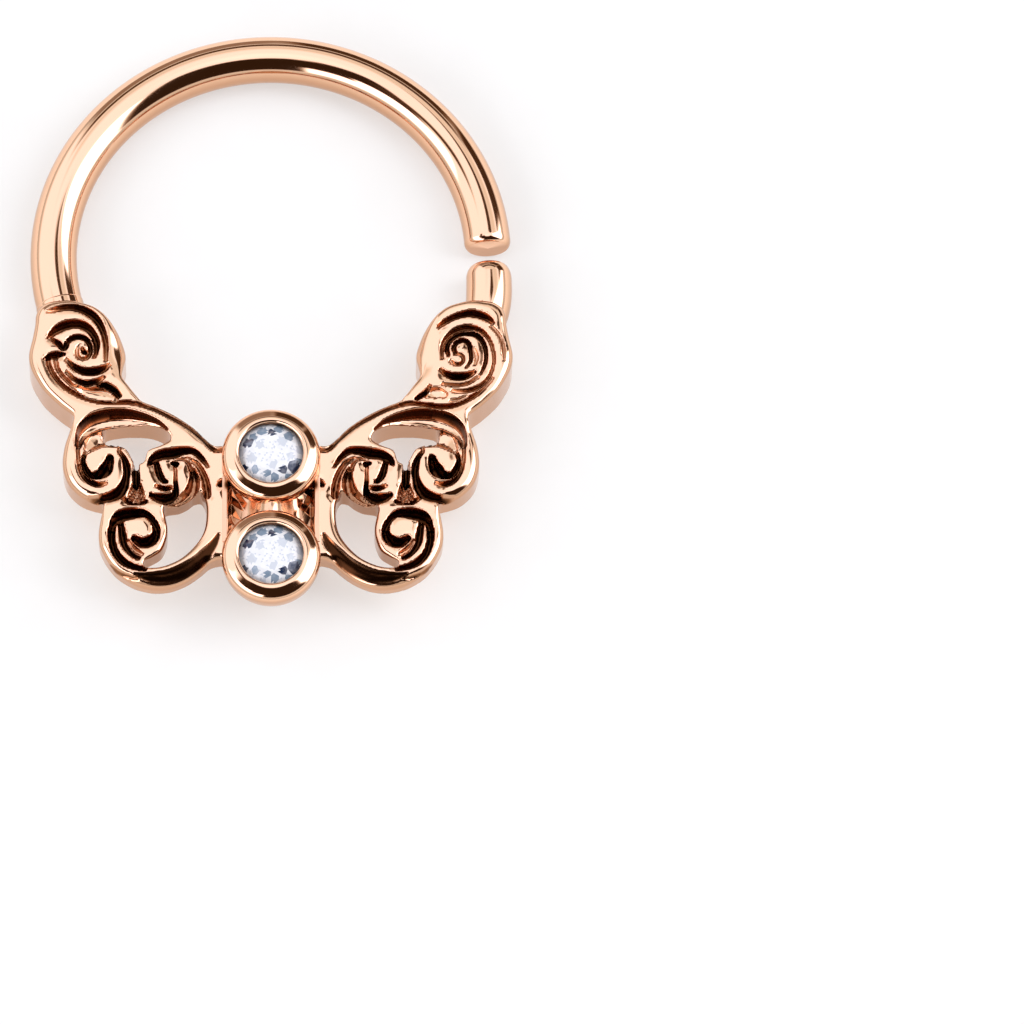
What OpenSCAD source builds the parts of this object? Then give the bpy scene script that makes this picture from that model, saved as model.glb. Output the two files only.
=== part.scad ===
// Septum ring of cast and polished metal: a cut round wire hoop, two spiral
// shoulders, two scrolled wings and two bezel-set round stones, all lying on
// the back of the ring. X runs to the wearer's left in front view, Y runs to
// the top of the hoop, Z comes out of the front. Lengths are in millimetres.

/* [Hoop] */
// Inner diameter of the round hoop
hoop_bore_d = 10; // [9:0.1:10.6]
// Diameter of the hoop wire
wire_d = 1.2; // [1:0.05:1.3]
// Width of the cut that lets the hoop be bent open
cut_gap = 0.5; // [0.3:0.05:0.8]
// Angle below the middle where the hoop is soldered to the left shoulder
seam_angle = 16; // [13:0.5:19]
// Diameter of the stub on the right shoulder
stub_d = 1.15; // [1:0.05:1.2]
// Rounding of the wire's cut end
end_round = 0.14; // [0.08:0.02:0.2]

/* [Spiral shoulders] */
// Distance of each spiral's middle from the centre line
spiral_x = 4.82; // [4.7:0.02:4.96]
// Distance of each spiral's middle below the hoop's centre
spiral_y = 2.92; // [2.8:0.02:3.05]
// Radius of the disc that carries the spiral
disc_r = 1.08; // [0.96:0.02:1.14]
// Turns of the spiral ridge
spiral_turns = 2.1; // [1.8:0.1:2.4]
// Width of the spiral ridge
spiral_ridge = 0.4; // [0.3:0.01:0.44]

/* [Wings] */
// Width of a wing from the bezel's edge to its outer lobe
wing_w = 4; // [3.8:0.05:4.2]
// Height of a wing from its top rim to its lowest lobe
wing_h = 4.9; // [4.7:0.05:5.1]
// Distance of the wing's top below the hoop's centre
wing_y = 4.4; // [4.3:0.02:4.5]
// Width of the rim that frames each wing
rim_w = 0.5; // [0.42:0.02:0.56]
// Width of the curls inside the wings
curl_w = 0.35; // [0.28:0.01:0.4]
// Outer radius of the first curl, below the outer lobe
first_curl_r = 0.57; // [0.5:0.01:0.6]
// Height of the rims above the ring's back
rim_z = 1.65; // [1.5:0.05:1.8]
// Height of the curls above the ring's back
curl_z = 1.5; // [1.35:0.05:1.6]
// Height of the recessed floor above the ring's back
floor_z = 0.85; // [0.7:0.05:1]
// Height of the floor's underside above the ring's back
floor_under = 0.3; // [0.1:0.05:0.4]
// Rise of the wing's back from its top to its lowest rim
back_rise = 0.5; // [0.3:0.05:0.6]

/* [Settings] */
// Outer diameter of each bezel
bezel_d = 2.5; // [2.3:0.05:2.6]
// Height of the bezels above the ring's back
bezel_z = 2.3; // [2.1:0.05:2.5]
// Diameter of the foot of each bezel cup
cup_foot_d = 1; // [0.8:0.05:1.3]
// Distance of the upper bezel below the hoop's centre
upper_bezel_y = 6.1; // [6.05:0.01:6.15]
// Distance between the middles of the two bezels
bezel_pitch = 2.76; // [2.7:0.01:2.8]

/* [Stones] */
// Diameter of each round stone
stone_d = 1.7; // [1.5:0.02:1.8]
// Share of the diameter that the flat table takes
table_share = 0.6; // [0.5:0.01:0.66]
// Height of the crown over the girdle
crown_h = 0.2; // [0.12:0.01:0.28]
// Depth of the pavilion under the girdle
pavilion_h = 0.7; // [0.5:0.02:0.8]
// Thickness of the girdle
girdle_h = 0.05; // [0.03:0.01:0.08]
// Gap left between a stone and its setting
stone_gap = 0.02; // [0.01:0.005:0.04]

/* [Hidden] */
wire_r = wire_d / 2;
mid_r = hoop_bore_d / 2 + wire_r;
bezel_r = bezel_d / 2;
stone_r = stone_d / 2;
girdle_z = bezel_z - crown_h - girdle_h - 0.03;
seat_r = stone_r + stone_gap;
lip_r = (bezel_r + seat_r) / 2;
lower_bezel_y = upper_bezel_y + bezel_pitch;
eps = 0.01;

// Section of every rim and curl, columns: side share, height share
SECTION = [[-0.62, 0], [-1, 0.26], [-0.95, 0.72], [-0.4, 0.99],
           [0.4, 0.99], [0.95, 0.72], [1, 0.26], [0.62, 0]];

// Section of the spiral ridge, which shows only its top
RIDGE = [[-0.95, 0], [-0.85, 0.62], [-0.35, 1], [0.35, 1], [0.85, 0.62], [0.95, 0]];

// Tables of the left wing, columns: share of wing_w from the bezel, share of
// wing_h from the top, share of the stroke's width, share of its height
OUTER_RIM = [
    [0.94, 0.03, 1, 1], [0.84, 0.04, 0.96, 1], [0.7, 0.02, 0.66, 1],
    [0.54, 0.03, 0.68, 1], [0.39, 0.09, 0.8, 1], [0.26, 0.16, 0.96, 1],
    [0.15, 0.25, 1.06, 1], [0.06, 0.35, 1.04, 0.98], [0.02, 0.47, 0.96, 0.96],
    [0.01, 0.58, 0.88, 0.96], [0.03, 0.68, 0.86, 0.95], [0.1, 0.78, 0.84, 0.94],
    [0.18, 0.86, 0.84, 0.93], [0.29, 0.92, 0.84, 0.92], [0.41, 0.95, 0.84, 0.92],
    [0.54, 0.94, 0.86, 0.92], [0.65, 0.88, 0.88, 0.93], [0.71, 0.79, 0.88, 0.94],
    [0.73, 0.7, 0.8, 0.95], [0.71, 0.62, 0.62, 0.94], [0.65, 0.59, 0.44, 0.9]];
LOBE_RIM = [
    [0.905, 0.065, 0.7, 0.95], [0.935, 0.14, 0.8, 0.955], [0.95, 0.22, 0.86, 0.96],
    [0.95, 0.33, 0.9, 0.96], [0.93, 0.42, 0.92, 0.95], [0.87, 0.51, 0.9, 0.94],
    [0.79, 0.55, 0.74, 0.93], [0.71, 0.55, 0.44, 0.88]];
INNER_CURL = [
    [0.46, 0.35, 0.7, 0.98], [0.475, 0.41, 0.8, 1], [0.45, 0.47, 0.84, 1],
    [0.38, 0.505, 0.86, 1], [0.305, 0.48, 0.86, 1], [0.28, 0.41, 0.86, 1],
    [0.32, 0.355, 0.8, 1.02], [0.36, 0.375, 0.8, 1.02]];
INNER_ARC = [
    [0.38, 0.295, 0.6, 0.96], [0.27, 0.285, 0.86, 0.98], [0.18, 0.336, 0.94, 1],
    [0.155, 0.42, 1, 1], [0.18, 0.5, 1, 1], [0.26, 0.555, 1, 1],
    [0.37, 0.585, 0.86, 1]];
LEAF_RIDGE = [
    [0.47, 0.575, 0.7, 0.96], [0.415, 0.61, 0.92, 1], [0.385, 0.69, 1, 1],
    [0.395, 0.77, 1, 1], [0.445, 0.825, 0.86, 0.96], [0.51, 0.845, 0.6, 0.9]];
LEAF = [
    [0.46, 0.7, 0.8, 1], [0.53, 0.71, 1.2, 1.04], [0.59, 0.745, 1, 1.02],
    [0.595, 0.81, 0.8, 1], [0.55, 0.87, 0.62, 0.98], [0.5, 0.905, 0.4, 0.94]];
THIN_RIDGE = [
    [0.655, 0.7, 0.4, 0.9], [0.65, 0.775, 0.46, 0.94], [0.61, 0.84, 0.46, 0.94],
    [0.54, 0.9, 0.34, 0.9]];
POST_LEFT = [[0.6, 0.34, 0.46, 1], [0.61, 0.45, 0.46, 0.98], [0.65, 0.56, 0.46, 0.94]];
POST_RIGHT = [[0.505, 0.345, 0.46, 1], [0.5, 0.45, 0.46, 0.98], [0.47, 0.56, 0.46, 0.94]];
CROSS_BAND = [[0.73, 0.57, 0.5, 0.97], [0.6, 0.575, 0.54, 0.965], [0.48, 0.57, 0.5, 0.97]];

// Tables of the pierced openings and the floor, columns: share of wing_w,
// share of wing_h
UPPER_HOLE = [
    [0.76, 0.12], [0.69, 0.095], [0.6, 0.085], [0.51, 0.085], [0.43, 0.105],
    [0.38, 0.13], [0.37, 0.16], [0.4, 0.2], [0.45, 0.225], [0.49, 0.26],
    [0.51, 0.3], [0.54, 0.315], [0.575, 0.305], [0.6, 0.28], [0.65, 0.24],
    [0.71, 0.21], [0.76, 0.175]];
CRESCENT = [
    [0.15, 0.43], [0.105, 0.53], [0.105, 0.63], [0.135, 0.735], [0.2, 0.822],
    [0.3, 0.895], [0.4, 0.928], [0.475, 0.914], [0.465, 0.888], [0.4, 0.847],
    [0.345, 0.775], [0.315, 0.694], [0.315, 0.612], [0.3, 0.571], [0.24, 0.54],
    [0.19, 0.49]];
FLOOR = [
    [0.9, 0.04], [0.7, 0.02], [0.54, 0.03], [0.39, 0.08], [0.15, 0.25],
    [0.02, 0.45], [0.01, 0.6], [0.1, 0.79], [0.29, 0.93], [0.41, 0.97],
    [0.54, 0.96], [0.66, 0.89], [0.73, 0.78], [0.74, 0.66], [0.78, 0.56],
    [0.88, 0.52], [0.95, 0.42], [0.97, 0.28], [0.95, 0.14]];

// A place on the left wing, from shares of its width and height
function wing_at(a, b) = [-(bezel_r + a * wing_w), -(wing_y + b * wing_h)];

// Rows of a stroke on the wing: x, y, half width, height
function wing_rows(table, w, z) = [for (r = table)
    [wing_at(r[0], r[1])[0], wing_at(r[0], r[1])[1], r[2] * w / 2, r[3] * z]];

// One point of a smooth curve between the rows b and c
function blend(a, b, c, d, t) = (2 * b + (c - a) * t + (2 * a - 5 * b + 4 * c - d) * t * t
    + (3 * b - a - 3 * c + d) * t * t * t) / 2;

// A smooth curve through all the rows, with a few steps between two of them
function smooth(rows, steps) = let (n = len(rows) - 1) concat(
    [for (i = [0:n - 1], k = [0:steps - 1])
        blend(rows[max(i - 1, 0)], rows[i], rows[i + 1], rows[min(i + 2, n)], k / steps)],
    [rows[n]]);

// A closed smooth curve through the points of an opening
function smooth_loop(pts, steps) = let (n = len(pts))
    [for (i = [0:n - 1], k = [0:steps - 1])
        blend(pts[(i + n - 1) % n], pts[i], pts[(i + 1) % n], pts[(i + 2) % n], k / steps)];

// A spiral: the radius falls from r0 to r1 as the angle goes from a0 to a1
function volute(at, r0, r1, a0, a1, w0, w1, z0, z1, n, bend = 1) = [for (i = [0:n])
    let (t = i / n, a = a0 + (a1 - a0) * t, r = r1 + (r0 - r1) * (1 - pow(t, bend)))
    [at[0] + r * cos(a), at[1] + r * sin(a), w0 + (w1 - w0) * t, z0 + (z1 - z0) * t]];

// Height of the wing's back at y, rising from the wing's top to its lowest rim
function back_at(y) = back_rise * min(max((-y - wing_y) / wing_h, 0), 1);

// Unit vector to the left of the stroke at row i
function left_of(rows, i) = let (
    d = rows[min(i + 1, len(rows) - 1)] - rows[max(i - 1, 0)], l = norm([d[0], d[1]]))
    [-d[1] / l, d[0] / l];

// A raised stroke: the section carried along the rows, standing on its foot
module stroke(rows, foot = 0, section = SECTION) {
    m = len(section);
    n = len(rows);
    points = [for (i = [0:n - 1], s = section) let (v = left_of(rows, i), r = rows[i])
        let (low = max(foot, back_at(r[1])))
        [r[0] + v[0] * r[2] * s[0], r[1] + v[1] * r[2] * s[0], low + (r[3] - low) * s[1]]];
    walls = [for (i = [0:n - 2], j = [0:m - 1]) let (
        a = i * m + j, b = i * m + (j + 1) % m, c = a + m, d = b + m)
        each [[a, b, c], [b, d, c]]];
    first = [for (j = [m - 1:-1:0]) j];
    last = [for (j = [0:m - 1]) (n - 1) * m + j];
    polyhedron(points, concat(walls, [first, last]), convexity = 8);
}

// A soft round bead at the end of a curl
module bead(at, r, z, foot = floor_z - eps) {
    hull() {
        translate([at[0], at[1], foot]) cylinder(r = r, h = eps, $fn = 10);
        translate([at[0], at[1], z - r * 0.7]) cylinder(r = r * 0.97, h = eps, $fn = 10);
        translate([at[0], at[1], z - r * 0.22]) cylinder(r = r * 0.66, h = eps, $fn = 10);
        translate([at[0], at[1], z - eps]) cylinder(r = r * 0.2, h = eps, $fn = 10);
    }
}

// Round wire from the cut, over the top, to the solder seam on the left
module hoop_wire() {
    cut_angle = asin(cut_gap / 2 / mid_r) + 1.7;
    translate([0, 0, wire_r])
        rotate([0, 0, cut_angle])
            rotate_extrude(angle = 180 + seam_angle - cut_angle, $fn = 56)
                translate([mid_r, 0]) circle(r = wire_r, $fn = 12);
}

// Rounded cut end of the wire
module wire_end() {
    cut_angle = asin(cut_gap / 2 / mid_r);
    rotate([0, 0, cut_angle]) hull() {
        translate([mid_r, 0, wire_r])
            rotate([-90, 0, 0]) cylinder(r = wire_r - end_round, h = 0.02, $fn = 12);
        translate([mid_r, end_round * 0.35, wire_r])
            rotate([-90, 0, 0]) cylinder(r = wire_r - end_round * 0.3, h = 0.02, $fn = 12);
        translate([mid_r, end_round, wire_r])
            rotate([-90, 0, 0]) cylinder(r = wire_r, h = 0.06, $fn = 12);
    }
}

// Short barrel on the right shoulder, facing the cut end of the wire
module stub() {
    r = stub_d / 2;
    top = -cut_gap / 2;
    foot = -spiral_y + disc_r * 1.3;
    lift = wire_r;
    hull() {
        translate([mid_r + 0.01, top, lift])
            rotate([90, 0, 0]) cylinder(r = r * 0.62, h = 0.02, $fn = 18);
        translate([mid_r + 0.01, top - r * 0.18, lift])
            rotate([90, 0, 0]) cylinder(r = r * 0.86, h = 0.02, $fn = 18);
        translate([mid_r + 0.01, top - r * 0.52, lift])
            rotate([90, 0, 0]) cylinder(r = r, h = 0.3, $fn = 18);
        translate([mid_r - 0.1, foot, lift])
            rotate([90, 0, 0]) cylinder(r = r * 0.98, h = 0.02, $fn = 18);
    }
    hull() {
        translate([mid_r - 0.1, foot + 0.02, lift])
            rotate([90, 0, 0]) cylinder(r = r * 0.98, h = 0.02, $fn = 18);
        translate([spiral_x + disc_r * 0.4, -spiral_y + disc_r * 0.58, lift])
            rotate([90, 0, 0]) cylinder(r = r * 0.72, h = 0.02, $fn = 18);
    }
}

// Collar on the left shoulder where the wire is soldered on
module collar() {
    a = 180 + seam_angle;
    hull() {
        translate([mid_r * cos(a), mid_r * sin(a) + 0.04, wire_r])
            rotate([90, 0, a - 180]) cylinder(r = wire_r * 0.99, h = 0.14, $fn = 18);
        translate([-spiral_x - disc_r * 0.4, -spiral_y + disc_r * 0.58, wire_r])
            rotate([90, 0, 0]) cylinder(r = wire_r * 0.72, h = 0.02, $fn = 18);
    }
}

// Disc with a raised spiral, the left one; the right one is its mirror image
module spiral() {
    at = [-spiral_x, -spiral_y];
    w = spiral_ridge / 2;
    translate([at[0], at[1], 0]) {
        cylinder(r1 = disc_r * 0.86, r2 = disc_r, h = 0.3, $fn = 28);
        translate([0, 0, 0.3 - eps]) cylinder(r = disc_r, h = floor_z + 0.1, $fn = 28);
    }
    middle = [at[0] - disc_r * 0.03, at[1] - disc_r * 0.1];
    stroke(volute(middle, disc_r * 0.86, disc_r * 0.08, 115, 115 - 360 * spiral_turns,
                  w, w * 0.6, rim_z, rim_z * 0.97, ceil(14 * spiral_turns)), floor_z, RIDGE);
    bead(middle, w * 0.7, rim_z * 0.99);
}

// Rim that comes down from the hoop round the spiral and into the wing
module shoulder() {
    rows = concat([
        [-spiral_x - disc_r * 0.88, -spiral_y + disc_r * 0.86, rim_w * 0.26, rim_z * 0.84],
        [-spiral_x - disc_r * 1.06, -spiral_y + disc_r * 0.36, rim_w * 0.36, rim_z * 0.94],
        [-spiral_x - disc_r * 1.1, -spiral_y - disc_r * 0.2, rim_w * 0.42, rim_z],
        [-spiral_x - disc_r * 0.98, -spiral_y - disc_r * 0.72, rim_w * 0.5, rim_z],
        [-spiral_x - disc_r * 0.66, -spiral_y - disc_r * 1.2, rim_w * 0.54, rim_z]],
        wing_rows(OUTER_RIM, rim_w, rim_z));
    stroke(smooth(rows, 2));
}

// Plate between spiral and wing with its own small rim round a pocket
module web() {
    a = [-spiral_x + disc_r * 0.64, -spiral_y - disc_r * 0.64];
    b = [-spiral_x + disc_r * 1.08, -spiral_y - disc_r * 1.4];
    c = [-spiral_x - disc_r * 0.4, -spiral_y - disc_r * 1.36];
    r = rim_w * 0.34;
    hull() for (p = [a, b, c]) translate([p[0], p[1], 0.12])
        cylinder(r = r, h = floor_z + 0.1, $fn = 12);
    hull() for (p = [a, b]) translate([p[0], p[1], 0]) {
        cylinder(r = r, h = rim_z * 0.82, $fn = 12);
        cylinder(r = r * 0.5, h = rim_z * 0.92, $fn = 12);
    }
}

// Recessed floor of a wing
module wing_floor() {
    translate([0, 0, floor_under]) linear_extrude(floor_z - floor_under)
        polygon([for (p = FLOOR) wing_at(p[0], p[1])]);
}

// Fan-shaped bead between the two upper curls
module fan() {
    top = wing_at(0.548, 0.46);
    low = wing_at(0.548, 0.55);
    spread = curl_w / 2;
    r = curl_w * 0.26;
    hull() {
        translate([top[0], top[1], floor_z - eps])
            cylinder(r1 = r, r2 = r * 0.6, h = (curl_z - floor_z) * 0.8, $fn = 12);
        for (side = [-spread, spread]) translate([low[0] + side, low[1], floor_z - eps])
            cylinder(r1 = r, r2 = r * 0.6, h = (curl_z - floor_z) * 0.74, $fn = 12);
    }
}

// Curls, ridges and posts of a wing
module wing_curls() {
    first = wing_at(0.757, 0.367);
    tip = first_curl_r * 0.35;
    foot = floor_under + 0.05;
    stroke(smooth(wing_rows(LOBE_RIM, rim_w, rim_z), 2));
    stroke(volute(first, first_curl_r, tip, 225, 585, curl_w * 0.46, curl_w * 0.44,
                  curl_z, curl_z * 1.02, 13, 1.5), foot, RIDGE);
    stroke(smooth(wing_rows(INNER_CURL, curl_w, curl_z), 2), foot, RIDGE);
    stroke(smooth(wing_rows(INNER_ARC, curl_w, curl_z), 2), foot);
    stroke(smooth(wing_rows(LEAF_RIDGE, curl_w, curl_z), 2), foot);
    stroke(smooth(wing_rows(LEAF, curl_w, curl_z), 2), foot, RIDGE);
    stroke(smooth(wing_rows(THIN_RIDGE, curl_w, curl_z), 2), foot, RIDGE);
    stroke(wing_rows(POST_LEFT, curl_w, curl_z), foot, RIDGE);
    stroke(wing_rows(POST_RIGHT, curl_w, curl_z), foot, RIDGE);
    stroke(wing_rows(CROSS_BAND, curl_w, curl_z), foot, RIDGE);
    bead(wing_at(0.345, 0.39), curl_w * 0.6, curl_z * 1.04);
    bead(wing_at(0.47, 0.7), curl_w * 0.42, curl_z);
    bead([first[0] - tip * 0.62, first[1] - tip * 0.65], curl_w * 0.4, curl_z);
}

// One wing: floor, rims and curls, pierced by its two openings
module wing() {
    difference() {
        union() {
            wing_floor();
            wing_curls();
            fan();
            web();
            shoulder();
        }
        translate([0, 0, -1]) linear_extrude(4)
            polygon(smooth_loop([for (p = UPPER_HOLE) wing_at(p[0], p[1])], 2));
        translate([0, 0, -1]) linear_extrude(4)
            polygon(smooth_loop([for (p = CRESCENT) wing_at(p[0], p[1])], 2));
    }
    spiral();
}

// Cup with a rounded lip that holds one stone
module bezel(y) {
    translate([0, -y, 0]) rotate_extrude($fn = 32) polygon([
        [0, 0], [cup_foot_d / 2 - 0.1, 0], [cup_foot_d / 2, 0.08],
        [bezel_r - 0.3, 1.05], [bezel_r - 0.05, 1.65], [bezel_r, bezel_z - 0.35],
        [bezel_r - 0.12, bezel_z - 0.06], [lip_r, bezel_z], [seat_r, bezel_z - 0.09],
        [seat_r, girdle_z - 0.03], [seat_r - 0.12, girdle_z - 0.13],
        [0.2, girdle_z - pavilion_h - 0.2], [0, girdle_z - pavilion_h - 0.2]]);
}

// Metal between the bezels and behind them, down to the wings
module bridge() {
    mid = -(upper_bezel_y + lower_bezel_y) / 2;
    hull() {
        translate([-0.44, mid - 0.41, 0.17]) cube([0.88, 0.82, 1.21]);
        translate([-0.31, mid - 0.31, 0.17]) cube([0.62, 0.62, bezel_z - 0.64]);
    }
    for (s = [-1, 1]) hull() {
        translate([s * 0.5, mid + 0.65, floor_under + 0.02]) cylinder(r = 0.31, h = 0.6, $fn = 12);
        translate([s * 0.5, mid - 0.65, floor_under + 0.02]) cylinder(r = 0.31, h = 0.6, $fn = 12);
        translate([s * (bezel_r + 0.1), mid, floor_under + 0.02]) cylinder(r = 0.31, h = 0.7, $fn = 12);
    }
    // Small cheeks where the lowest rims meet the lower bezel
    for (s = [-1, 1]) hull() {
        translate([s * (bezel_r - 0.3), -lower_bezel_y + 0.5, 0.75])
            cylinder(r = 0.25, h = 0.6, $fn = 10);
        translate([s * (bezel_r + 0.1), -lower_bezel_y + 0.26, 0.8])
            cylinder(r = 0.1, h = 0.5, $fn = 10);
        translate([s * (bezel_r - 0.3), -lower_bezel_y + 0.15, 0.8])
            cylinder(r = 0.2, h = 0.45, $fn = 10);
    }
}

// All the metal, soldered and cast into one piece
module ring_frame() {
    color([0.86, 0.6, 0.47]) union() {
        hoop_wire();
        wire_end();
        stub();
        collar();
        wing();
        mirror([1, 0, 0]) wing();
        bridge();
        bezel(upper_bezel_y);
        bezel(lower_bezel_y);
    }
}

// Points of one ring of a stone's corners
function corners(r, z, n, turn) = [for (i = [0:n - 1])
    [r * cos(turn + 360 * i / n), r * sin(turn + 360 * i / n), z]];

// Round brilliant: table, star, kite and girdle facets over a pointed pavilion
module stone(y) {
    t = stone_r * table_share;
    star = (t + stone_r) / 2;
    low = stone_r * 0.25;
    points = concat(
        corners(t, crown_h + girdle_h, 8, 0),
        corners(star / cos(22.5), crown_h / 2 + girdle_h, 8, 22.5),
        corners(stone_r, girdle_h, 16, 0),
        corners(stone_r, 0, 16, 0),
        corners(low / cos(22.5), -pavilion_h * (1 - low / stone_r), 8, 22.5),
        [[0, 0, -pavilion_h]]);
    table = [[for (i = [7:-1:0]) i]];
    eighths = [for (i = [0:7]) let (n = (i + 1) % 8, g = 16 + 2 * i, h = 16 + 2 * n) each [
        [i, n, 8 + i], [n, 8 + n, h, 8 + i],
        [8 + i, g + 1, g], [8 + i, h, g + 1],
        [g, g + 1, g + 17, g + 16], [g + 1, h, h + 16, g + 17],
        [48 + i, g + 16, g + 17], [48 + i, g + 17, h + 16],
        [48 + i, h + 16, 48 + n, 56]]];
    translate([0, -y, girdle_z]) color([0.86, 0.9, 0.95])
        polyhedron(points, concat(table, eighths), convexity = 2);
}

module upper_stone() { stone(upper_bezel_y); }

module lower_stone() { stone(lower_bezel_y); }

// Puts the middle of the whole ring over the origin
module centred() {
    translate([0, (lower_bezel_y + bezel_r - mid_r - wire_r) / 2, 0]) children();
}

centred() ring_frame();
centred() upper_stone();
centred() lower_stone();
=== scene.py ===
# %% [markdown]
# # A septum ring in rose gold, with two round stones
# The ring is a cut hoop of round wire soldered to a cast ornament: two spiral
# shoulders, two scrolled wings, and two bezel cups one above the other. It lies
# on its back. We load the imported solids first, and every piece that we make
# stands where they stand.

# %% Load the frame
import math

import bpy
import numpy as np
from mathutils import Matrix, Vector


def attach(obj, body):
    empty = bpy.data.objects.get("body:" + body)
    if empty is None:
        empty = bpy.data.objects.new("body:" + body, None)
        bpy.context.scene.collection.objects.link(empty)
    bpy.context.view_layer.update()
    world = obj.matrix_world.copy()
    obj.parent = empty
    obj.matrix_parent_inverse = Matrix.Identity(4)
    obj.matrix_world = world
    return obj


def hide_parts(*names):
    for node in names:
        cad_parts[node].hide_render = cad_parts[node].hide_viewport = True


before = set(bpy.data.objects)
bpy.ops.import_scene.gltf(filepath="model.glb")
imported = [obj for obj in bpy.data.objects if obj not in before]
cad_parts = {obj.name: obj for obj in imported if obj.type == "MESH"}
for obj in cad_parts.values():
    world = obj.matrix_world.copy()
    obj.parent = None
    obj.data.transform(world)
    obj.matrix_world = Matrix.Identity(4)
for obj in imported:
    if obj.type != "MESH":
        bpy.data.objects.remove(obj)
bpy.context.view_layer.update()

# %% [markdown]
# ## Sizes
# All shapes are worked out in millimetres from the middle of the hoop, as a
# jeweller draws them, and moved into the frame at the very end. The numbers are
# the ones of the solids, so a piece lies on its solid with no fitting.

# %% Sizes of the ring, in millimetres
MM = 0.001
wire_r = 0.6
mid_r = 5.6
bezel_r = 1.25
stone_r = 0.85
girdle_z = 2.02
upper_y = -6.1
lower_y = -8.86
rim_z = 1.65
cut_half = 0.25
# the solids lie round the frame's middle, and the hoop's middle is this far above it
to_frame = np.array([0.0, (-lower_y + bezel_r - mid_r - wire_r) / 2, 0.0])
print("hoop's middle lies", to_frame[1], "mm above the middle of the ring")

# %% [markdown]
# ## The camera
# The photograph looks down on the ring from a long way off, so its lines stay
# parallel. We could measure the tilt from any round thing: the stones and the
# cups show as ellipses, and their height over width gives an elevation of about
# 66.5 degrees. A long lens and a far camera keep the same look, and the aim is
# turned a little so that the hoop's middle falls where the photograph has it.

# %% Camera
IMAGE = 1024
PX_PER_MM = 38.75
hoop_px = np.array([271.0, 257.5])
elevation = math.radians(66.5)
distance = 0.26
towards = Vector((0, -math.cos(elevation), math.sin(elevation)))
hoop_middle = Vector(((to_frame + [0, 0, wire_r]) * MM).tolist())
cam_data = bpy.data.cameras.new("long_lens")
cam_data.sensor_width = 36
cam_data.lens = 36 * distance / (IMAGE / PX_PER_MM * MM)
cam_data.dof.use_dof = False
cam_data.clip_start, cam_data.clip_end = 0.01, 10
camera = bpy.data.objects.new("long_lens", cam_data)
bpy.context.scene.collection.objects.link(camera)
bpy.context.scene.camera = camera
camera.location = hoop_middle + towards * distance
off = (np.array([IMAGE, IMAGE]) / 2 - hoop_px) / PX_PER_MM * MM
up = Vector((0, math.sin(elevation), math.cos(elevation)))
target = hoop_middle + Vector((1, 0, 0)) * off[0] - up * off[1]
look = (target - camera.location).normalized()
right = look.cross(up).normalized()
level = Matrix((right, right.cross(look), -look)).transposed()
camera.rotation_euler = level.to_euler()
print("lens", round(cam_data.lens), "mm, camera at", tuple(round(c, 3) for c in camera.location))

# %% [markdown]
# ## Shader nodes as sums
# A shader's maths can be clicked together node by node, but it reads better as
# an expression. `Shade` wraps a socket, and adding, multiplying or subtracting
# two of them adds the Math node that does it.


# %% A small language for nodes
class Shade:
    """A number in a shader: each operator adds one Math node."""

    def __init__(self, tree, socket):
        self.tree, self.socket = tree, socket

    def math(self, operation, *values, clamp=False):
        return self.tree.node("ShaderNodeMath", {"operation": operation, "use_clamp": clamp},
                              {i: v for i, v in enumerate(values)})

    def __add__(self, other): return self.math("ADD", self, other)
    __radd__ = __add__
    def __mul__(self, other): return self.math("MULTIPLY", self, other)
    __rmul__ = __mul__
    def __sub__(self, other): return self.math("SUBTRACT", self, other)
    def __rsub__(self, other): return self.math("SUBTRACT", other, self)
    def clamped(self): return self.math("ADD", self, 0.0, clamp=True)

    def step(self, low, high):
        """0 under low, 1 over high, a smooth ramp between."""
        return self.tree.node("ShaderNodeMapRange", {"interpolation_type": "SMOOTHSTEP"},
                              {0: self, 1: low, 2: high, 3: 0.0, 4: 1.0})


class Tree:
    """A node tree that is filled from expressions."""

    def __init__(self, owner):
        owner.use_nodes = True
        self.nodes, self.links = owner.node_tree.nodes, owner.node_tree.links
        self.nodes.clear()

    def node(self, kind, settings=None, inputs=None, out=0):
        """Adds a node: first its settings, then its sockets' values or links."""
        made = self.nodes.new(kind)
        for key, value in (settings or {}).items():
            setattr(made, key, value)
        for key, value in (inputs or {}).items():
            if isinstance(value, Shade):
                self.links.new(value.socket, made.inputs[key])
            else:
                made.inputs[key].default_value = value
        return Shade(self, made.outputs[out]) if len(made.outputs) else made

    def mix(self, factor, a, b):
        """Colour a where the factor is 0, b where it is 1."""
        return self.node("ShaderNodeMix", {"data_type": "RGBA"},
                         {0: factor, 6: a, 7: b}, out=2)


# %% [markdown]
# ## The studio
# Polished metal has no colour of its own to show: it shows the studio. What a
# photographer puts round a ring is two big soft boxes and a few black cards,
# and each of them is a rectangle in azimuth and elevation. We could hang real
# lamps, but they would stand in the way of other views, so the studio is
# painted on the sky as a function of direction. Each card is laid over the ones
# before it. What is dark in the studio is tinted brown, as polished gold lights
# its own shadows, and the soft boxes are a little cool. The camera itself sees a
# plain pale backdrop.

# %% The studio as a sky
world = bpy.data.worlds.new("studio")
bpy.context.scene.world = world
sky = Tree(world)
ray = sky.node("ShaderNodeTexCoord")
direction = sky.node("ShaderNodeSeparateXYZ", None, {0: ray})
x_of, y_of, z_of = (Shade(sky, s) for s in direction.socket.node.outputs)
azimuth = x_of.math("ARCTAN2", x_of, y_of) * (180 / math.pi)
height = x_of.math("ARCSINE", z_of) * (180 / math.pi)


where = sky.node("ShaderNodeCombineXYZ", None, {0: azimuth, 1: height})


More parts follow.
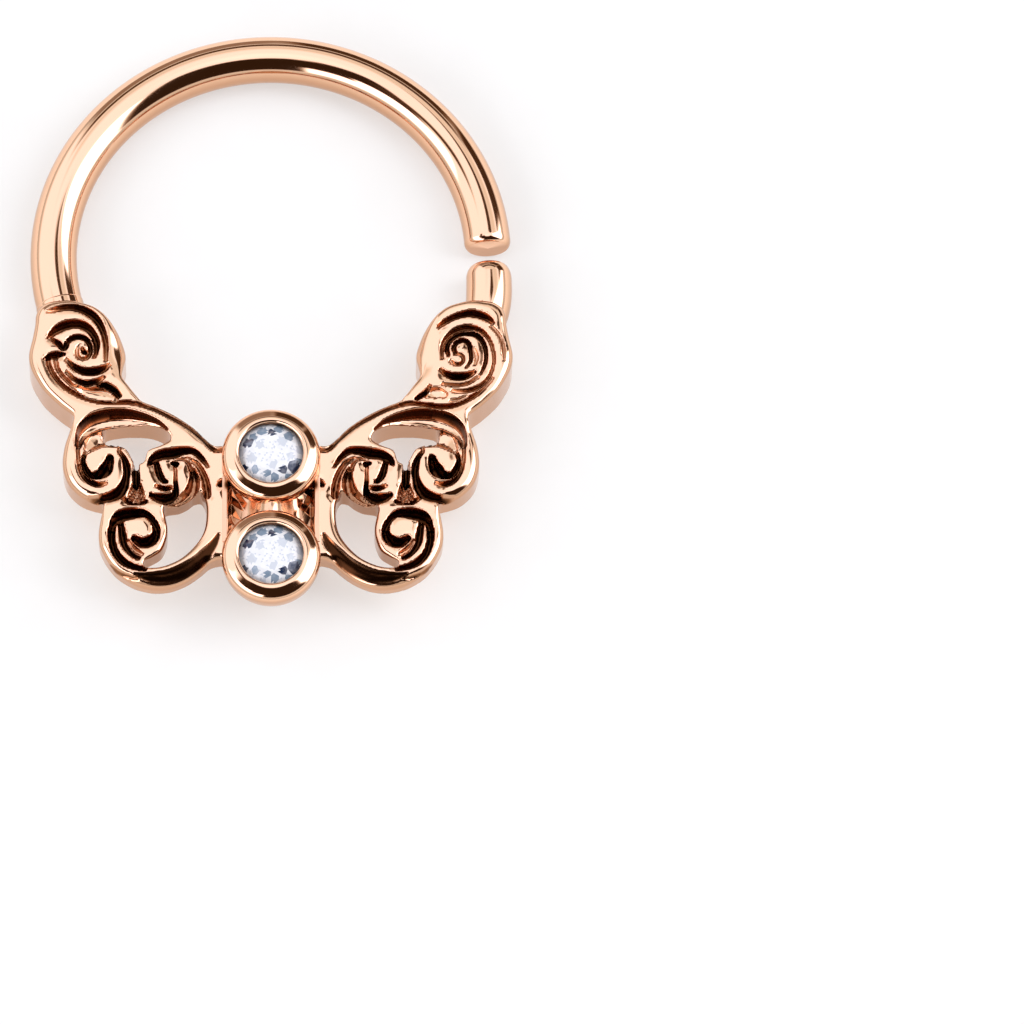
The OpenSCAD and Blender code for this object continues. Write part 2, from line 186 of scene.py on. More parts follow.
def card(az0, az1, el0, el1, soft_az=6.0, soft_el=6.0):
    """1 inside a rectangle of azimuth and elevation, with soft edges: a smooth step of the
    distance from its middle, both ways. Azimuth 0 is the hoop's top, 90 the right."""
    half, soft = np.array([[az1 - az0, el1 - el0, 0], [soft_az, soft_el, 1]]) / 2
    off = sky.node("ShaderNodeVectorMath", {"operation": "SUBTRACT"},
                   {0: where, 1: ((az0 + az1) / 2, (el0 + el1) / 2, 0)})
    off = sky.node("ShaderNodeVectorMath", {"operation": "ABSOLUTE"}, {0: off})
    smooth = {"data_type": "FLOAT_VECTOR", "interpolation_type": "SMOOTHSTEP"}
    inside = sky.node("ShaderNodeMapRange", smooth,
                      {6: off, 7: half - soft, 8: half + soft, 9: (1, 1, 1), 10: (0, 0, 0)}, out=1)
    parts = sky.node("ShaderNodeSeparateXYZ", None, {0: inside})
    return parts * Shade(sky, parts.socket.node.outputs[1])


def lay(under, over, mask):
    """The brightness over on top of under where the mask is 1."""
    return sky.node("ShaderNodeMix", {"data_type": "FLOAT"}, {0: mask, 2: under, 3: over})


# brightness, azimuth from and to, elevation from and to, softness of both
CARDS = [
    (0.86, -60, 60, 40, 57, 24, 12),      # a dimmer band over the hoop's top
    (1.3, -95, -28, 14, 72, 12, 10),      # large soft box on the left
    (3.0, -165, -90, 18, 47, 5, 6),       # bright strip at the lower left
    (3.2, 58, 113, 14, 62, 4, 6),         # bright soft box on the right
    (0.08, -34, 34, 28, 40, 10, 5),       # black card behind the hoop's top
    (0.3, -34, 2, 2, 26, 8, 5),           # and under it, grey on the left
    (0.07, 2, 34, 2, 26, 8, 5),           # and black on the right
    (0.06, 34, 58, 5, 34, 6, 4),          # black edge of the right soft box
    (0.03, 113, 190, 17, 74, 14, 5),      # black card at the camera, in two halves
    (0.03, -190, -166, 17, 74, 6, 5),
    (0.03, -170, -142, 38, 74, 6, 8),
    (0.03, -150, -104, 47, 76, 14, 5),    # black over the lower left strip
    (0.08, -125, -62, 55, 65, 16, 6),     # black line over the left soft box
    (0.06, 11, 40, 57, 66, 7, 4),         # black line beside the right one
]
light = lay(0.62, 1.3, height.step(4, 30))
light = lay(light, 1.45, height.step(74, 86))
for brightness, *place in CARDS:
    light = lay(light, brightness, card(*place))
seen = sky.node("ShaderNodeLightPath")
backdrop = sky.node("ShaderNodeBackground", None, {0: (0.86, 0.86, 0.86, 1), 1: 1.0})
tint = sky.mix(light.step(0.0, 0.6), (1.0, 0.5, 0.24, 1), (1, 1, 1, 1))
tint = sky.mix(light.step(0.95, 1.25), tint, (1.0, 1.0, 1.14, 1))
studio = sky.node("ShaderNodeBackground", None, {0: tint, 1: light})
both = sky.node("ShaderNodeMixShader", None, {0: seen, 1: studio, 2: backdrop})
sky.node("ShaderNodeOutputWorld", None, {0: both})
bpy.context.scene.view_settings.view_transform = "Standard"
print("studio of", len(sky.nodes), "nodes")

# %% [markdown]
# ## The floor
# A plain pale sheet, large enough to fill every view from above. It is lit from
# within a little, like the light table that such pictures are taken on, so it
# comes out almost white and the shadows on it stay faint.

# %% Floor
bpy.ops.mesh.primitive_plane_add(size=0.6, location=(0, 0, 0))
floor = bpy.context.object
floor.name = "pale_sheet"
paper = bpy.data.materials.new("pale_paper")
tree = Tree(paper)
speck = tree.node("ShaderNodeTexNoise", None,
                  {0: tree.node("ShaderNodeTexCoord", out=3), "Scale": 900.0, "Detail": 3.0})
shade = tree.mix(speck, (0.48, 0.475, 0.43, 1), (0.52, 0.515, 0.47, 1))
glow = {"Emission Color": (0.47, 0.47, 0.47, 1), "Emission Strength": 1.0}
skin = tree.node("ShaderNodeBsdfPrincipled", None, {"Base Color": shade, "Roughness": 0.85, **glow})
tree.node("ShaderNodeOutputMaterial", None, {0: skin})
floor.data.materials.append(paper)

# %% [markdown]
# ## From arrays to a piece
# Every surface below is an array of points and an array of faces. One function
# moves the points into the frame and fills the mesh in one go, and another
# joins the points of a grid into quads.


# %% Mesh helpers
def piece(name, points, faces, material, smooth=True, normals=None, **marks):
    """A mesh object from points in millimetres and an array of quads or triangles; each
    mark is one number for every point, or a colour for every face, that a shader can read."""
    faces = np.ascontiguousarray(faces, np.int32)
    mesh = bpy.data.meshes.new(name)
    mesh.vertices.add(len(points))
    mesh.vertices.foreach_set("co", ((points + to_frame) * MM).astype(np.float32).ravel())
    mesh.loops.add(faces.size)
    mesh.loops.foreach_set("vertex_index", faces.ravel())
    mesh.polygons.add(len(faces))
    mesh.polygons.foreach_set("loop_start", np.arange(len(faces), dtype=np.int32) * faces.shape[1])
    mesh.update(calc_edges=True)
    mesh.validate()
    mesh.polygons.foreach_set("use_smooth", np.full(len(mesh.polygons), smooth))
    if normals is not None:
        mesh.normals_split_custom_set_from_vertices(normals.astype(np.float32))
    for key, value in marks.items():
        kind, domain = ("FLOAT", "POINT") if value.ndim == 1 else ("FLOAT_COLOR", "FACE")
        mark = mesh.attributes.new(key, kind, domain)
        mark.data.foreach_set("value" if value.ndim == 1 else "color", value.astype(np.float32).ravel())
    mesh.materials.append(material)
    made = bpy.data.objects.new(name, mesh)
    bpy.context.scene.collection.objects.link(made)
    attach(made, "root")
    print(name, len(points), "points,", len(faces) * (faces.shape[1] - 2), "triangles")
    return made


def grid_faces(rows, columns, close_rows=False, close_columns=True):
    """Quads over a grid of points, row by row; a closed direction joins its last line to its first."""
    r = np.arange(rows if close_rows else rows - 1)[:, None]
    c = np.arange(columns if close_columns else columns - 1)[None, :]
    r1, c1 = (r + 1) % rows, (c + 1) % columns
    quads = np.stack(np.broadcast_arrays(r * columns + c, r * columns + c1,
                                         r1 * columns + c1, r1 * columns + c), -1)
    return quads.reshape(-1, 4)


# %% [markdown]
# ## Rose gold
# Copper and gold make a pink metal. Cast, filed and polished, it keeps a faint
# waviness from the wax and a few fine hairlines from the cloth. Both are far
# too small to model, so they go into the roughness and the bump. Where the mesh
# is marked for shade, in cuts, recesses, on walls and under things, the colour is
# darkened towards brown as painted shade, and the roughness is raised.


# %% Material of the metal
def rose_gold(name, wave=0.004, hair=0.03, base=(1.0, 0.62, 0.41)):
    """Polished metal: colour, roughness and bump from noise on object coordinates, and painted
    shade, tan to near black, where the mesh is marked for it."""
    material = bpy.data.materials.new(name)
    tree = Tree(material)
    place = tree.node("ShaderNodeTexCoord", out=3)
    cloud = tree.node("ShaderNodeTexNoise", None, {0: place, "Scale": 420.0, "Detail": 2.0})
    fine = tree.node("ShaderNodeTexNoise", None, {0: place, "Scale": 5200.0, "Detail": 3.0})
    hollow = tree.node("ShaderNodeAttribute", {"attribute_name": "hollow"}, out=2)
    painted_shade_at = (hollow + (fine - 0.5) * 0.12 * hollow).clamped()
    warm = tree.mix(cloud, (*base, 1), (base[0] * 0.965, base[1] * 0.975, base[2] * 0.95, 1))
    # painted shade: the base colour goes to tan, then brown, then near black as the shade mark grows
    painted_shading = tree.mix(painted_shade_at.step(0.0, 0.3), warm, (0.66, 0.37, 0.22, 1))
    painted_shading = tree.mix(painted_shade_at.step(0.26, 0.62), painted_shading, (0.27, 0.11, 0.045, 1))
    painted_shading = tree.mix(painted_shade_at.step(0.55, 0.95), painted_shading, (0.05, 0.017, 0.006, 1))
    rough = 0.035 + cloud * 0.05 + fine * hair + painted_shade_at * 0.16
    waves = tree.node("ShaderNodeBump", None,
                      {"Strength": 0.12, "Distance": wave * MM, "Height": cloud * 1.0 + fine * 0.05})
    skin = tree.node("ShaderNodeBsdfPrincipled", None,
                     {"Base Color": painted_shading, "Metallic": 1.0, "Roughness": rough, "Normal": waves})
    tree.node("ShaderNodeOutputMaterial", None, {0: skin})
    return material


gold = rose_gold("rose_gold_polished")

# %% [markdown]
# ## The hoop and the stub
# Round wire bent on a mandrel and cut. It is a circle carried along an arc, so
# its surface is a function of the way along the hoop and the angle round the
# wire. At the cut the edge is broken with a file: the rows draw in along a
# quarter of an ellipse, down to a point that closes the end. Opposite the cut
# stands a short stub, the same thing along a shorter line. The other ends of
# both run on into the casting and are closed there, out of sight. Where the hoop
# meets the left shoulder lies a thin collar of solder, a third wire that is a
# little thicker. All three are painted a faint tan below their tops, as painted shade.


# %% Wires with closed ends
def wire(name, path, radius, round_a, round_b, segments=96, rows=14):
    """A circle of the given radius carried along a path; at each end the radius follows a
    quarter of an ellipse over the given length, and the last row is a point."""
    run = np.concatenate([[0], np.cumsum(np.linalg.norm(np.diff(path, axis=0), axis=1))])
    bend = np.linspace(0, np.pi / 2, rows)
    straight = np.linspace(round_a, run[-1] - round_b, 300)[1:-1]
    at = np.concatenate([[0], round_a * (1 - np.cos(bend)), straight,
                         run[-1] - round_b * (1 - np.cos(bend[::-1])), [run[-1]]])
    keep = np.concatenate([[0], 1 - round_a + round_a * np.sin(bend), np.ones(298),
                           1 - round_b + round_b * np.sin(bend[::-1]), [0]])
    middle = np.stack([np.interp(at, run, path[:, k]) for k in range(3)], -1)
    ahead = np.stack([np.interp(at + 0.02, run, path[:, k]) - np.interp(at - 0.02, run, path[:, k])
                      for k in range(3)], -1)
    ahead /= np.linalg.norm(ahead, axis=1, keepdims=True)
    side = np.cross(ahead, [0.0, 0.0, 1.0])
    side /= np.linalg.norm(side, axis=1, keepdims=True)
    over = np.cross(side, ahead)
    b = np.linspace(0, 2 * np.pi, segments, endpoint=False)[None, :, None]
    size = (np.interp(at, run, radius) * keep)[:, None, None]
    grid = middle[:, None] + size * (np.cos(b) * side[:, None] + np.sin(b) * over[:, None])
    # painted shade: a faint tan over the wire's sides and underside, none on its top
    underside_shade = 0.3 * np.clip((0.78 - np.broadcast_to(np.sin(b), (len(at), segments, 1))) / 0.6, 0, 1)
    faces = grid_faces(len(at), segments)[:, ::-1]
    made = piece(name, grid.reshape(-1, 3), faces, gold, hollow=underside_shade.ravel())
    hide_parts("ring_frame")
    return made


# %% Hoop and stub
hoop_ends = math.asin(cut_half / mid_r), math.radians(199.5)
collar_from, taper_from, taper = math.radians(193.6), math.radians(197), math.radians(2.5)
a = np.linspace(*hoop_ends, 500)
hoop = np.stack([mid_r * np.cos(a), mid_r * np.sin(a), wire_r + 0 * a], -1)
wire("hoop_wire", hoop, wire_r - 0.12 * np.clip((a - taper_from) / taper, 0, 1), 0.2, 0.3)
a = np.linspace(collar_from, hoop_ends[1], 60)
collar = np.stack([mid_r * np.cos(a), mid_r * np.sin(a), wire_r + 0.02 + 0 * a], -1)
wire("solder_collar", collar, wire_r + 0.015 + 0 * a, 0.05, 0.3)
t = np.linspace(0, 1, 200)
swell = np.sin(np.pi * t)
stub = np.stack([mid_r + 0.03 * swell - 0.14 * t ** 3, -cut_half - 1.75 * t, wire_r + 0.08 * t ** 2], -1)
wire("stub", stub, 0.575 + 0.02 * swell - 0.07 * t ** 4, 0.34, 0.3)

# %% [markdown]
# ## The ornament as a field
# Each shoulder with its wing is one casting: a thick plate with a domed top, two
# pierced openings, and scrolls cut into it with a graver. It could be built from
# swept strips, but they would cross each other with hard creases. So it is made
# as a field, a function of the place that is negative inside the metal: the
# plate's outline, less its openings, less the cuts. Where two parts of the field
# meet they are joined softly, which gives the small fillets of a real casting
# for free. The surface is where the field is nought. First come the lines that
# the jeweller would draw on the wax.


# %% Lines of one wing
def smooth_line(rows, step=0.02, closed=False):
    """Catmull-Rom curve through the rows, with one sample for each step of its length."""
    rows = np.asarray(rows, float)
    n = len(rows)
    i = np.arange(n if closed else n - 1)
    get = (lambda k: rows[k % n]) if closed else (lambda k: rows[np.clip(k, 0, n - 1)])
    a, b, c, d = (get(i + k)[:, None, :] for k in (-1, 0, 1, 2))
    t = np.linspace(0, 1, 24, endpoint=False)[None, :, None]
    fine = (2 * b + (c - a) * t + (2 * a - 5 * b + 4 * c - d) * t ** 2
            + (3 * b - a - 3 * c + d) * t ** 3) / 2
    fine = fine.reshape(-1, rows.shape[1])
    fine = np.vstack([fine, rows[:1] if closed else rows[-1:]])
    run = np.concatenate([[0], np.cumsum(np.linalg.norm(np.diff(fine[:, :2], axis=0), axis=1))])
    at = np.linspace(0, run[-1], max(int(run[-1] / step), 12) + 1)
    return np.stack([np.interp(at, run, fine[:, k]) for k in range(fine.shape[1])], -1)


# the plate's outline and its two openings: x, y, and how far in from the edge the top is rounded
OUTLINE = smooth_line([
    [-5.45, -1.58, 0.3], [-5.72, -1.62, 0.34], [-5.93, -1.76, 0.36], [-6.02, -1.98, 0.34],
    [-6.04, -2.25, 0.32], [-6.1, -2.6, 0.34],
    [-6.19, -3.05, 0.34], [-6.15, -3.4, 0.32], [-6.0, -3.75, 0.28], [-5.78, -4.1, 0.26],
    [-5.42, -4.47, 0.26], [-5.12, -4.72, 0.22], [-5.03, -4.86, 0.12], [-5.06, -5.0, 0.14],
    [-5.15, -5.25, 0.3], [-5.26, -5.6, 0.34], [-5.31, -6.0, 0.34], [-5.28, -6.32, 0.34],
    [-5.17, -6.62, 0.34], [-4.98, -6.86, 0.34], [-4.76, -7.03, 0.36], [-4.5, -7.13, 0.36],
    [-4.28, -7.2, 0.14], [-4.26, -7.34, 0.12], [-4.33, -7.62, 0.26], [-4.38, -7.98, 0.3],
    [-4.36, -8.3, 0.3], [-4.26, -8.56, 0.3], [-4.1, -8.84, 0.32], [-3.86, -9.12, 0.36],
    [-3.52, -9.35, 0.42], [-3.24, -9.45, 0.48], [-2.9, -9.5, 0.5], [-2.5, -9.45, 0.5],
    [-2.11, -9.27, 0.48], [-1.79, -9.02, 0.44], [-1.55, -8.8, 0.36], [-1.3, -8.72, 0.25],
    [-1.12, -8.7, 0.16], [-1.1, -7.9, 0.16], [-1.1, -7.3, 0.16], [-1.1, -6.6, 0.14],
    [-1.05, -6.0, 0.14], [-1.15, -5.68, 0.12], [-1.45, -5.64, 0.14],
    [-1.7, -5.4, 0.26], [-2.0, -5.09, 0.3], [-2.5, -4.74, 0.3], [-3.0, -4.5, 0.28],
    [-3.28, -4.41, 0.18], [-3.42, -4.28, 0.14], [-3.6, -4.04, 0.14], [-3.8, -3.72, 0.14],
    [-3.77, -3.4, 0.2], [-3.72, -3.1, 0.24], [-3.77, -2.8, 0.26], [-3.93, -2.42, 0.26],
    [-4.18, -2.07, 0.22], [-4.5, -1.8, 0.18], [-4.85, -1.66, 0.2], [-5.15, -1.58, 0.26]], closed=True)
UPPER_HOLE = smooth_line([
    [-4.22, -5.56, 0.1], [-4.3, -5.3, 0.06], [-4.2, -5.08, 0.06], [-3.85, -4.99, 0.06],
    [-3.5, -4.97, 0.06], [-3.08, -5.0, 0.06], [-2.76, -5.14, 0.06], [-2.58, -5.34, 0.08],
    [-2.58, -5.5, 0.1], [-2.82, -5.65, 0.1], [-3.05, -5.74, 0.08], [-3.15, -5.83, 0.08],
    [-3.21, -6.04, 0.06], [-3.29, -6.13, 0.06], [-3.44, -6.13, 0.06], [-3.53, -6.04, 0.08],
    [-3.66, -5.79, 0.1], [-3.8, -5.68, 0.12], [-4.02, -5.6, 0.1]], closed=True)
CRESCENT = smooth_line([
    [-1.78, -6.93, 0.12], [-1.67, -7.15, 0.18], [-1.64, -7.5, 0.2], [-1.7, -7.95, 0.2],
    [-1.9, -8.33, 0.18], [-2.25, -8.7, 0.14], [-2.66, -8.92, 0.12], [-3.0, -8.99, 0.1],
    [-3.2, -8.93, 0.08], [-3.22, -8.8, 0.1], [-3.0, -8.67, 0.16], [-2.78, -8.5, 0.2],
    [-2.66, -8.2, 0.2], [-2.63, -7.9, 0.2], [-2.68, -7.6, 0.2], [-2.74, -7.38, 0.1],
    [-2.66, -7.26, 0.05], [-2.35, -7.2, 0.05], [-2.12, -7.08, 0.05], [-1.95, -6.94, 0.07]], closed=True)
# the graver's cuts: x, y, half width, depth
CUTS = {
    # the left shoulder, round the spiral
    "under_wire": [[-5.7, -1.94, 0.02, 0.06], [-5.45, -1.86, 0.04, 0.16], [-5.15, -1.82, 0.05, 0.2],
        [-4.85, -1.87, 0.06, 0.24], [-4.58, -2.03, 0.06, 0.26], [-4.4, -2.26, 0.05, 0.22],
        [-4.28, -2.55, 0.035, 0.18], [-4.22, -2.9, 0.03, 0.14], [-4.22, -3.3, 0.02, 0.08]],
    "spiral_cut": [[-5.68, -2.66, 0.02, 0.1], [-5.52, -2.48, 0.06, 0.24], [-5.3, -2.34, 0.075, 0.3],
        [-5.0, -2.28, 0.075, 0.3], [-4.74, -2.36, 0.065, 0.28], [-4.56, -2.55, 0.05, 0.24],
        [-4.47, -2.8, 0.05, 0.22], [-4.47, -3.05, 0.03, 0.14], [-4.52, -3.2, 0.02, 0.06]],
    "wedge": [[-5.68, -2.66, 0.01, 0.1], [-5.5, -2.77, 0.03, 0.2], [-5.3, -2.93, 0.05, 0.24],
        [-5.24, -2.8, 0.04, 0.2]],
    "inner_cut": [[-5.27, -2.86, 0.02, 0.14], [-5.12, -2.7, 0.03, 0.2], [-4.92, -2.64, 0.035, 0.22],
        [-4.74, -2.7, 0.035, 0.22], [-4.63, -2.86, 0.03, 0.2], [-4.62, -3.05, 0.025, 0.16],
        [-4.68, -3.2, 0.02, 0.14], [-4.82, -3.26, 0.02, 0.12], [-4.94, -3.16, 0.02, 0.1],
        [-4.95, -2.98, 0.015, 0.06], [-4.9, -2.88, 0.01, 0.03]],
    "knob_pit": [[-4.82, -2.98, 0.02, 0.1], [-4.78, -3.06, 0.03, 0.22], [-4.74, -3.08, 0.02, 0.16]],
    "lower_crescent": [[-5.22, -3.28, 0.02, 0.08], [-5.06, -3.45, 0.04, 0.2], [-4.8, -3.59, 0.06, 0.28],
        [-4.5, -3.6, 0.065, 0.3], [-4.27, -3.52, 0.05, 0.22], [-4.14, -3.42, 0.02, 0.08]],
    "leaf_pit": [[-5.78, -3.24, 0.01, 0.1], [-5.62, -3.17, 0.045, 0.26], [-5.45, -3.13, 0.045, 0.28],
        [-5.3, -3.12, 0.02, 0.16]],
    "second_crescent": [[-5.22, -3.62, 0.015, 0.08], [-5.02, -3.81, 0.025, 0.17],
        [-4.75, -3.92, 0.035, 0.22], [-4.48, -3.88, 0.035, 0.2], [-4.27, -3.76, 0.015, 0.1]],
    "shoulder_cut": [[-5.7, -3.24, 0.02, 0.14], [-5.66, -3.46, 0.025, 0.16], [-5.53, -3.72, 0.025, 0.18],
        [-5.32, -3.98, 0.025, 0.18], [-5.06, -4.18, 0.025, 0.18], [-4.75, -4.34, 0.025, 0.18],
        [-4.4, -4.44, 0.025, 0.18], [-4.0, -4.47, 0.025, 0.18], [-3.6, -4.47, 0.025, 0.16],
        [-3.3, -4.53, 0.025, 0.14]],
    "top_line": [[-3.36, -4.52, 0.02, 0.1], [-2.95, -4.66, 0.025, 0.12], [-2.5, -4.9, 0.025, 0.12],
        [-2.1, -5.15, 0.025, 0.12], [-1.75, -5.46, 0.025, 0.12], [-1.5, -5.73, 0.025, 0.12],
        [-1.36, -5.8, 0.02, 0.08], [-1.22, -5.76, 0.02, 0.08]],
    "inner_shoulder_cut": [[-5.5, -3.28, 0.02, 0.12], [-5.46, -3.5, 0.02, 0.16],
        [-5.31, -3.74, 0.02, 0.16], [-5.1, -3.96, 0.02, 0.14], [-4.98, -4.04, 0.015, 0.08]],
    "pocket": [[-5.0, -4.02, 0.03, 0.12], [-4.8, -4.1, 0.08, 0.2], [-4.55, -4.17, 0.12, 0.25],
        [-4.27, -4.19, 0.14, 0.27], [-4.12, -4.22, 0.12, 0.27], [-4.0, -4.27, 0.09, 0.26]],
    "pocket_wall": [[-4.4, -3.95, 0.02, 0.2], [-4.2, -3.97, 0.035, 0.32], [-4.0, -4.09, 0.035, 0.34],
        [-3.86, -4.26, 0.02, 0.26]],
    # the upper opening and the first curl
    "upper_bevel": [[-4.9, -5.62, 0.05, 0.22], [-4.86, -5.4, 0.08, 0.3], [-4.72, -5.18, 0.14, 0.38],
        [-4.45, -4.99, 0.18, 0.42], [-4.1, -4.9, 0.19, 0.42], [-3.7, -4.88, 0.17, 0.38],
        [-3.3, -4.93, 0.12, 0.3], [-2.95, -5.03, 0.07, 0.2], [-2.7, -5.2, 0.04, 0.1]],
    "recess_patch": [[-4.68, -5.72, 0.05, 0.17], [-4.57, -5.53, 0.13, 0.22], [-4.44, -5.4, 0.15, 0.24],
        [-4.33, -5.44, 0.1, 0.24]],
    "curl_groove": [[-4.89, -5.5, 0.015, 0.1], [-4.92, -5.8, 0.015, 0.1], [-4.89, -6.1, 0.02, 0.12],
        [-4.81, -6.38, 0.03, 0.18], [-4.65, -6.6, 0.04, 0.22], [-4.42, -6.72, 0.04, 0.2],
        [-4.2, -6.69, 0.02, 0.08]],
    "curl_hollow": [[-4.1, -5.99, 0.05, 0.3], [-4.14, -6.15, 0.08, 0.42], [-4.22, -6.32, 0.11, 0.46],
        [-4.38, -6.45, 0.07, 0.4], [-4.58, -6.45, 0.04, 0.28], [-4.72, -6.3, 0.04, 0.26],
        [-4.79, -6.08, 0.03, 0.2], [-4.74, -5.88, 0.02, 0.12]],
    "curl_slope": [[-4.62, -7.06, 0.02, 0.08], [-4.36, -7.1, 0.05, 0.22], [-4.08, -7.06, 0.08, 0.32],
        [-3.87, -6.94, 0.09, 0.36], [-3.74, -6.74, 0.07, 0.34], [-3.68, -6.5, 0.045, 0.3],
        [-3.67, -6.25, 0.05, 0.26], [-3.74, -6.0, 0.03, 0.2], [-3.86, -5.82, 0.02, 0.12],
        [-3.86, -5.72, 0.02, 0.1]],
    "curl_edge": [[-4.74, -5.88, 0.01, 0.06], [-4.5, -5.74, 0.015, 0.12], [-4.25, -5.64, 0.02, 0.14],
        [-3.98, -5.64, 0.03, 0.14]],
    # the posts and the grained little fan at their foot
    "post_gap": [[-3.44, -6.16, 0.04, 0.5], [-3.44, -6.4, 0.05, 0.55], [-3.43, -6.62, 0.05, 0.5],
        [-3.43, -6.72, 0.03, 0.3]],
    "fan": [[-3.42, -6.74, 0.08, 0.2], [-3.42, -6.9, 0.13, 0.22], [-3.42, -7.04, 0.16, 0.22]],
    "fan_base": [[-3.76, -7.1, 0.02, 0.14], [-3.6, -7.18, 0.04, 0.26], [-3.4, -7.2, 0.04, 0.26],
        [-3.2, -7.18, 0.03, 0.2]],
    # the inner curl
    "curl_arch": [[-3.1, -6.16, 0.02, 0.12], [-3.0, -6.0, 0.05, 0.26], [-2.78, -5.9, 0.08, 0.34],
        [-2.5, -5.86, 0.09, 0.36], [-2.22, -5.79, 0.06, 0.3], [-1.98, -5.81, 0.045, 0.24],
        [-1.78, -5.98, 0.03, 0.2], [-1.62, -6.22, 0.015, 0.08]],
    "ring_cut": [[-2.92, -6.1, 0.03, 0.24], [-2.88, -6.3, 0.04, 0.26], [-2.82, -6.48, 0.045, 0.26],
        [-2.74, -6.6, 0.03, 0.22], [-2.66, -6.64, 0.015, 0.12]],
    "ball_pit": [[-2.5, -6.14, 0.02, 0.2], [-2.42, -6.16, 0.035, 0.26]],
    "ring_floor": [[-2.92, -6.76, 0.015, 0.08], [-2.8, -6.8, 0.03, 0.2], [-2.66, -6.83, 0.03, 0.22],
        [-2.52, -6.79, 0.015, 0.08]],
    "under_ring": [[-3.04, -7.0, 0.03, 0.2], [-2.88, -7.08, 0.07, 0.32], [-2.68, -7.1, 0.09, 0.36],
        [-2.46, -7.0, 0.06, 0.32], [-2.42, -6.84, 0.035, 0.24], [-2.43, -6.6, 0.015, 0.14],
        [-2.43, -6.35, 0.01, 0.1], [-2.45, -6.18, 0.01, 0.06]],
    "strip_line": [[-2.44, -6.02, 0.01, 0.06], [-2.22, -6.03, 0.015, 0.12], [-2.1, -6.16, 0.015, 0.14],
        [-2.05, -6.32, 0.015, 0.12]],
    "side_recess": [[-2.0, -6.3, 0.03, 0.2], [-1.95, -6.5, 0.07, 0.28], [-1.96, -6.7, 0.09, 0.32],
        [-2.02, -6.88, 0.1, 0.34], [-2.16, -7.04, 0.08, 0.32], [-2.38, -7.18, 0.05, 0.28],
        [-2.6, -7.25, 0.03, 0.2]],
    # the leaf, the wing's rim and the lower band
    "band_slope": [[-4.05, -8.0, 0.05, 0.26], [-4.0, -7.78, 0.05, 0.3], [-3.86, -7.6, 0.09, 0.4],
        [-3.6, -7.52, 0.1, 0.42], [-3.32, -7.5, 0.07, 0.38], [-3.12, -7.57, 0.04, 0.3],
        [-2.97, -7.76, 0.04, 0.28], [-2.9, -7.95, 0.05, 0.28]],
    "left_groove": [[-4.05, -7.95, 0.05, 0.26], [-4.04, -8.25, 0.05, 0.26], [-3.94, -8.58, 0.05, 0.26],
        [-3.72, -8.84, 0.05, 0.26], [-3.45, -8.97, 0.04, 0.24], [-3.2, -9.02, 0.03, 0.2]],
    "leaf_groove": [[-3.82, -7.76, 0.03, 0.24], [-3.78, -8.05, 0.05, 0.28], [-3.72, -8.32, 0.05, 0.28],
        [-3.56, -8.56, 0.05, 0.26], [-3.38, -8.72, 0.03, 0.16]],
    "leaf_line": [[-3.62, -8.26, 0.02, 0.12], [-3.48, -8.46, 0.03, 0.16], [-3.28, -8.62, 0.02, 0.1]],
    "leaf_hollow": [[-3.46, -8.2, 0.05, 0.24], [-3.28, -8.3, 0.08, 0.4], [-3.08, -8.27, 0.09, 0.42],
        [-2.94, -8.12, 0.07, 0.34], [-2.9, -7.95, 0.04, 0.26]],
    "rim_wall": [[-2.14, -5.99, 0.015, 0.08], [-1.9, -6.14, 0.03, 0.16], [-1.74, -6.4, 0.04, 0.22],
        [-1.65, -6.7, 0.05, 0.28], [-1.62, -7.0, 0.05, 0.28]],
    "low_band": [[-3.44, -9.17, 0.02, 0.03], [-3.0, -9.25, 0.1, 0.05], [-2.5, -9.19, 0.13, 0.06],
        [-2.05, -8.97, 0.14, 0.06], [-1.7, -8.66, 0.13, 0.06], [-1.46, -8.36, 0.08, 0.05],
        [-1.33, -8.1, 0.02, 0.03]],
    "arrow": [[-1.3, -6.72, 0.03, 0.2], [-1.22, -6.66, 0.05, 0.3], [-1.13, -6.78, 0.05, 0.3],
        [-1.07, -6.95, 0.04, 0.3]],
    "outer_line": [[-4.1, -8.86, 0.01, 0.03], [-3.85, -9.08, 0.015, 0.05], [-3.55, -9.22, 0.02, 0.05],
        [-3.36, -9.27, 0.01, 0.02]],
}
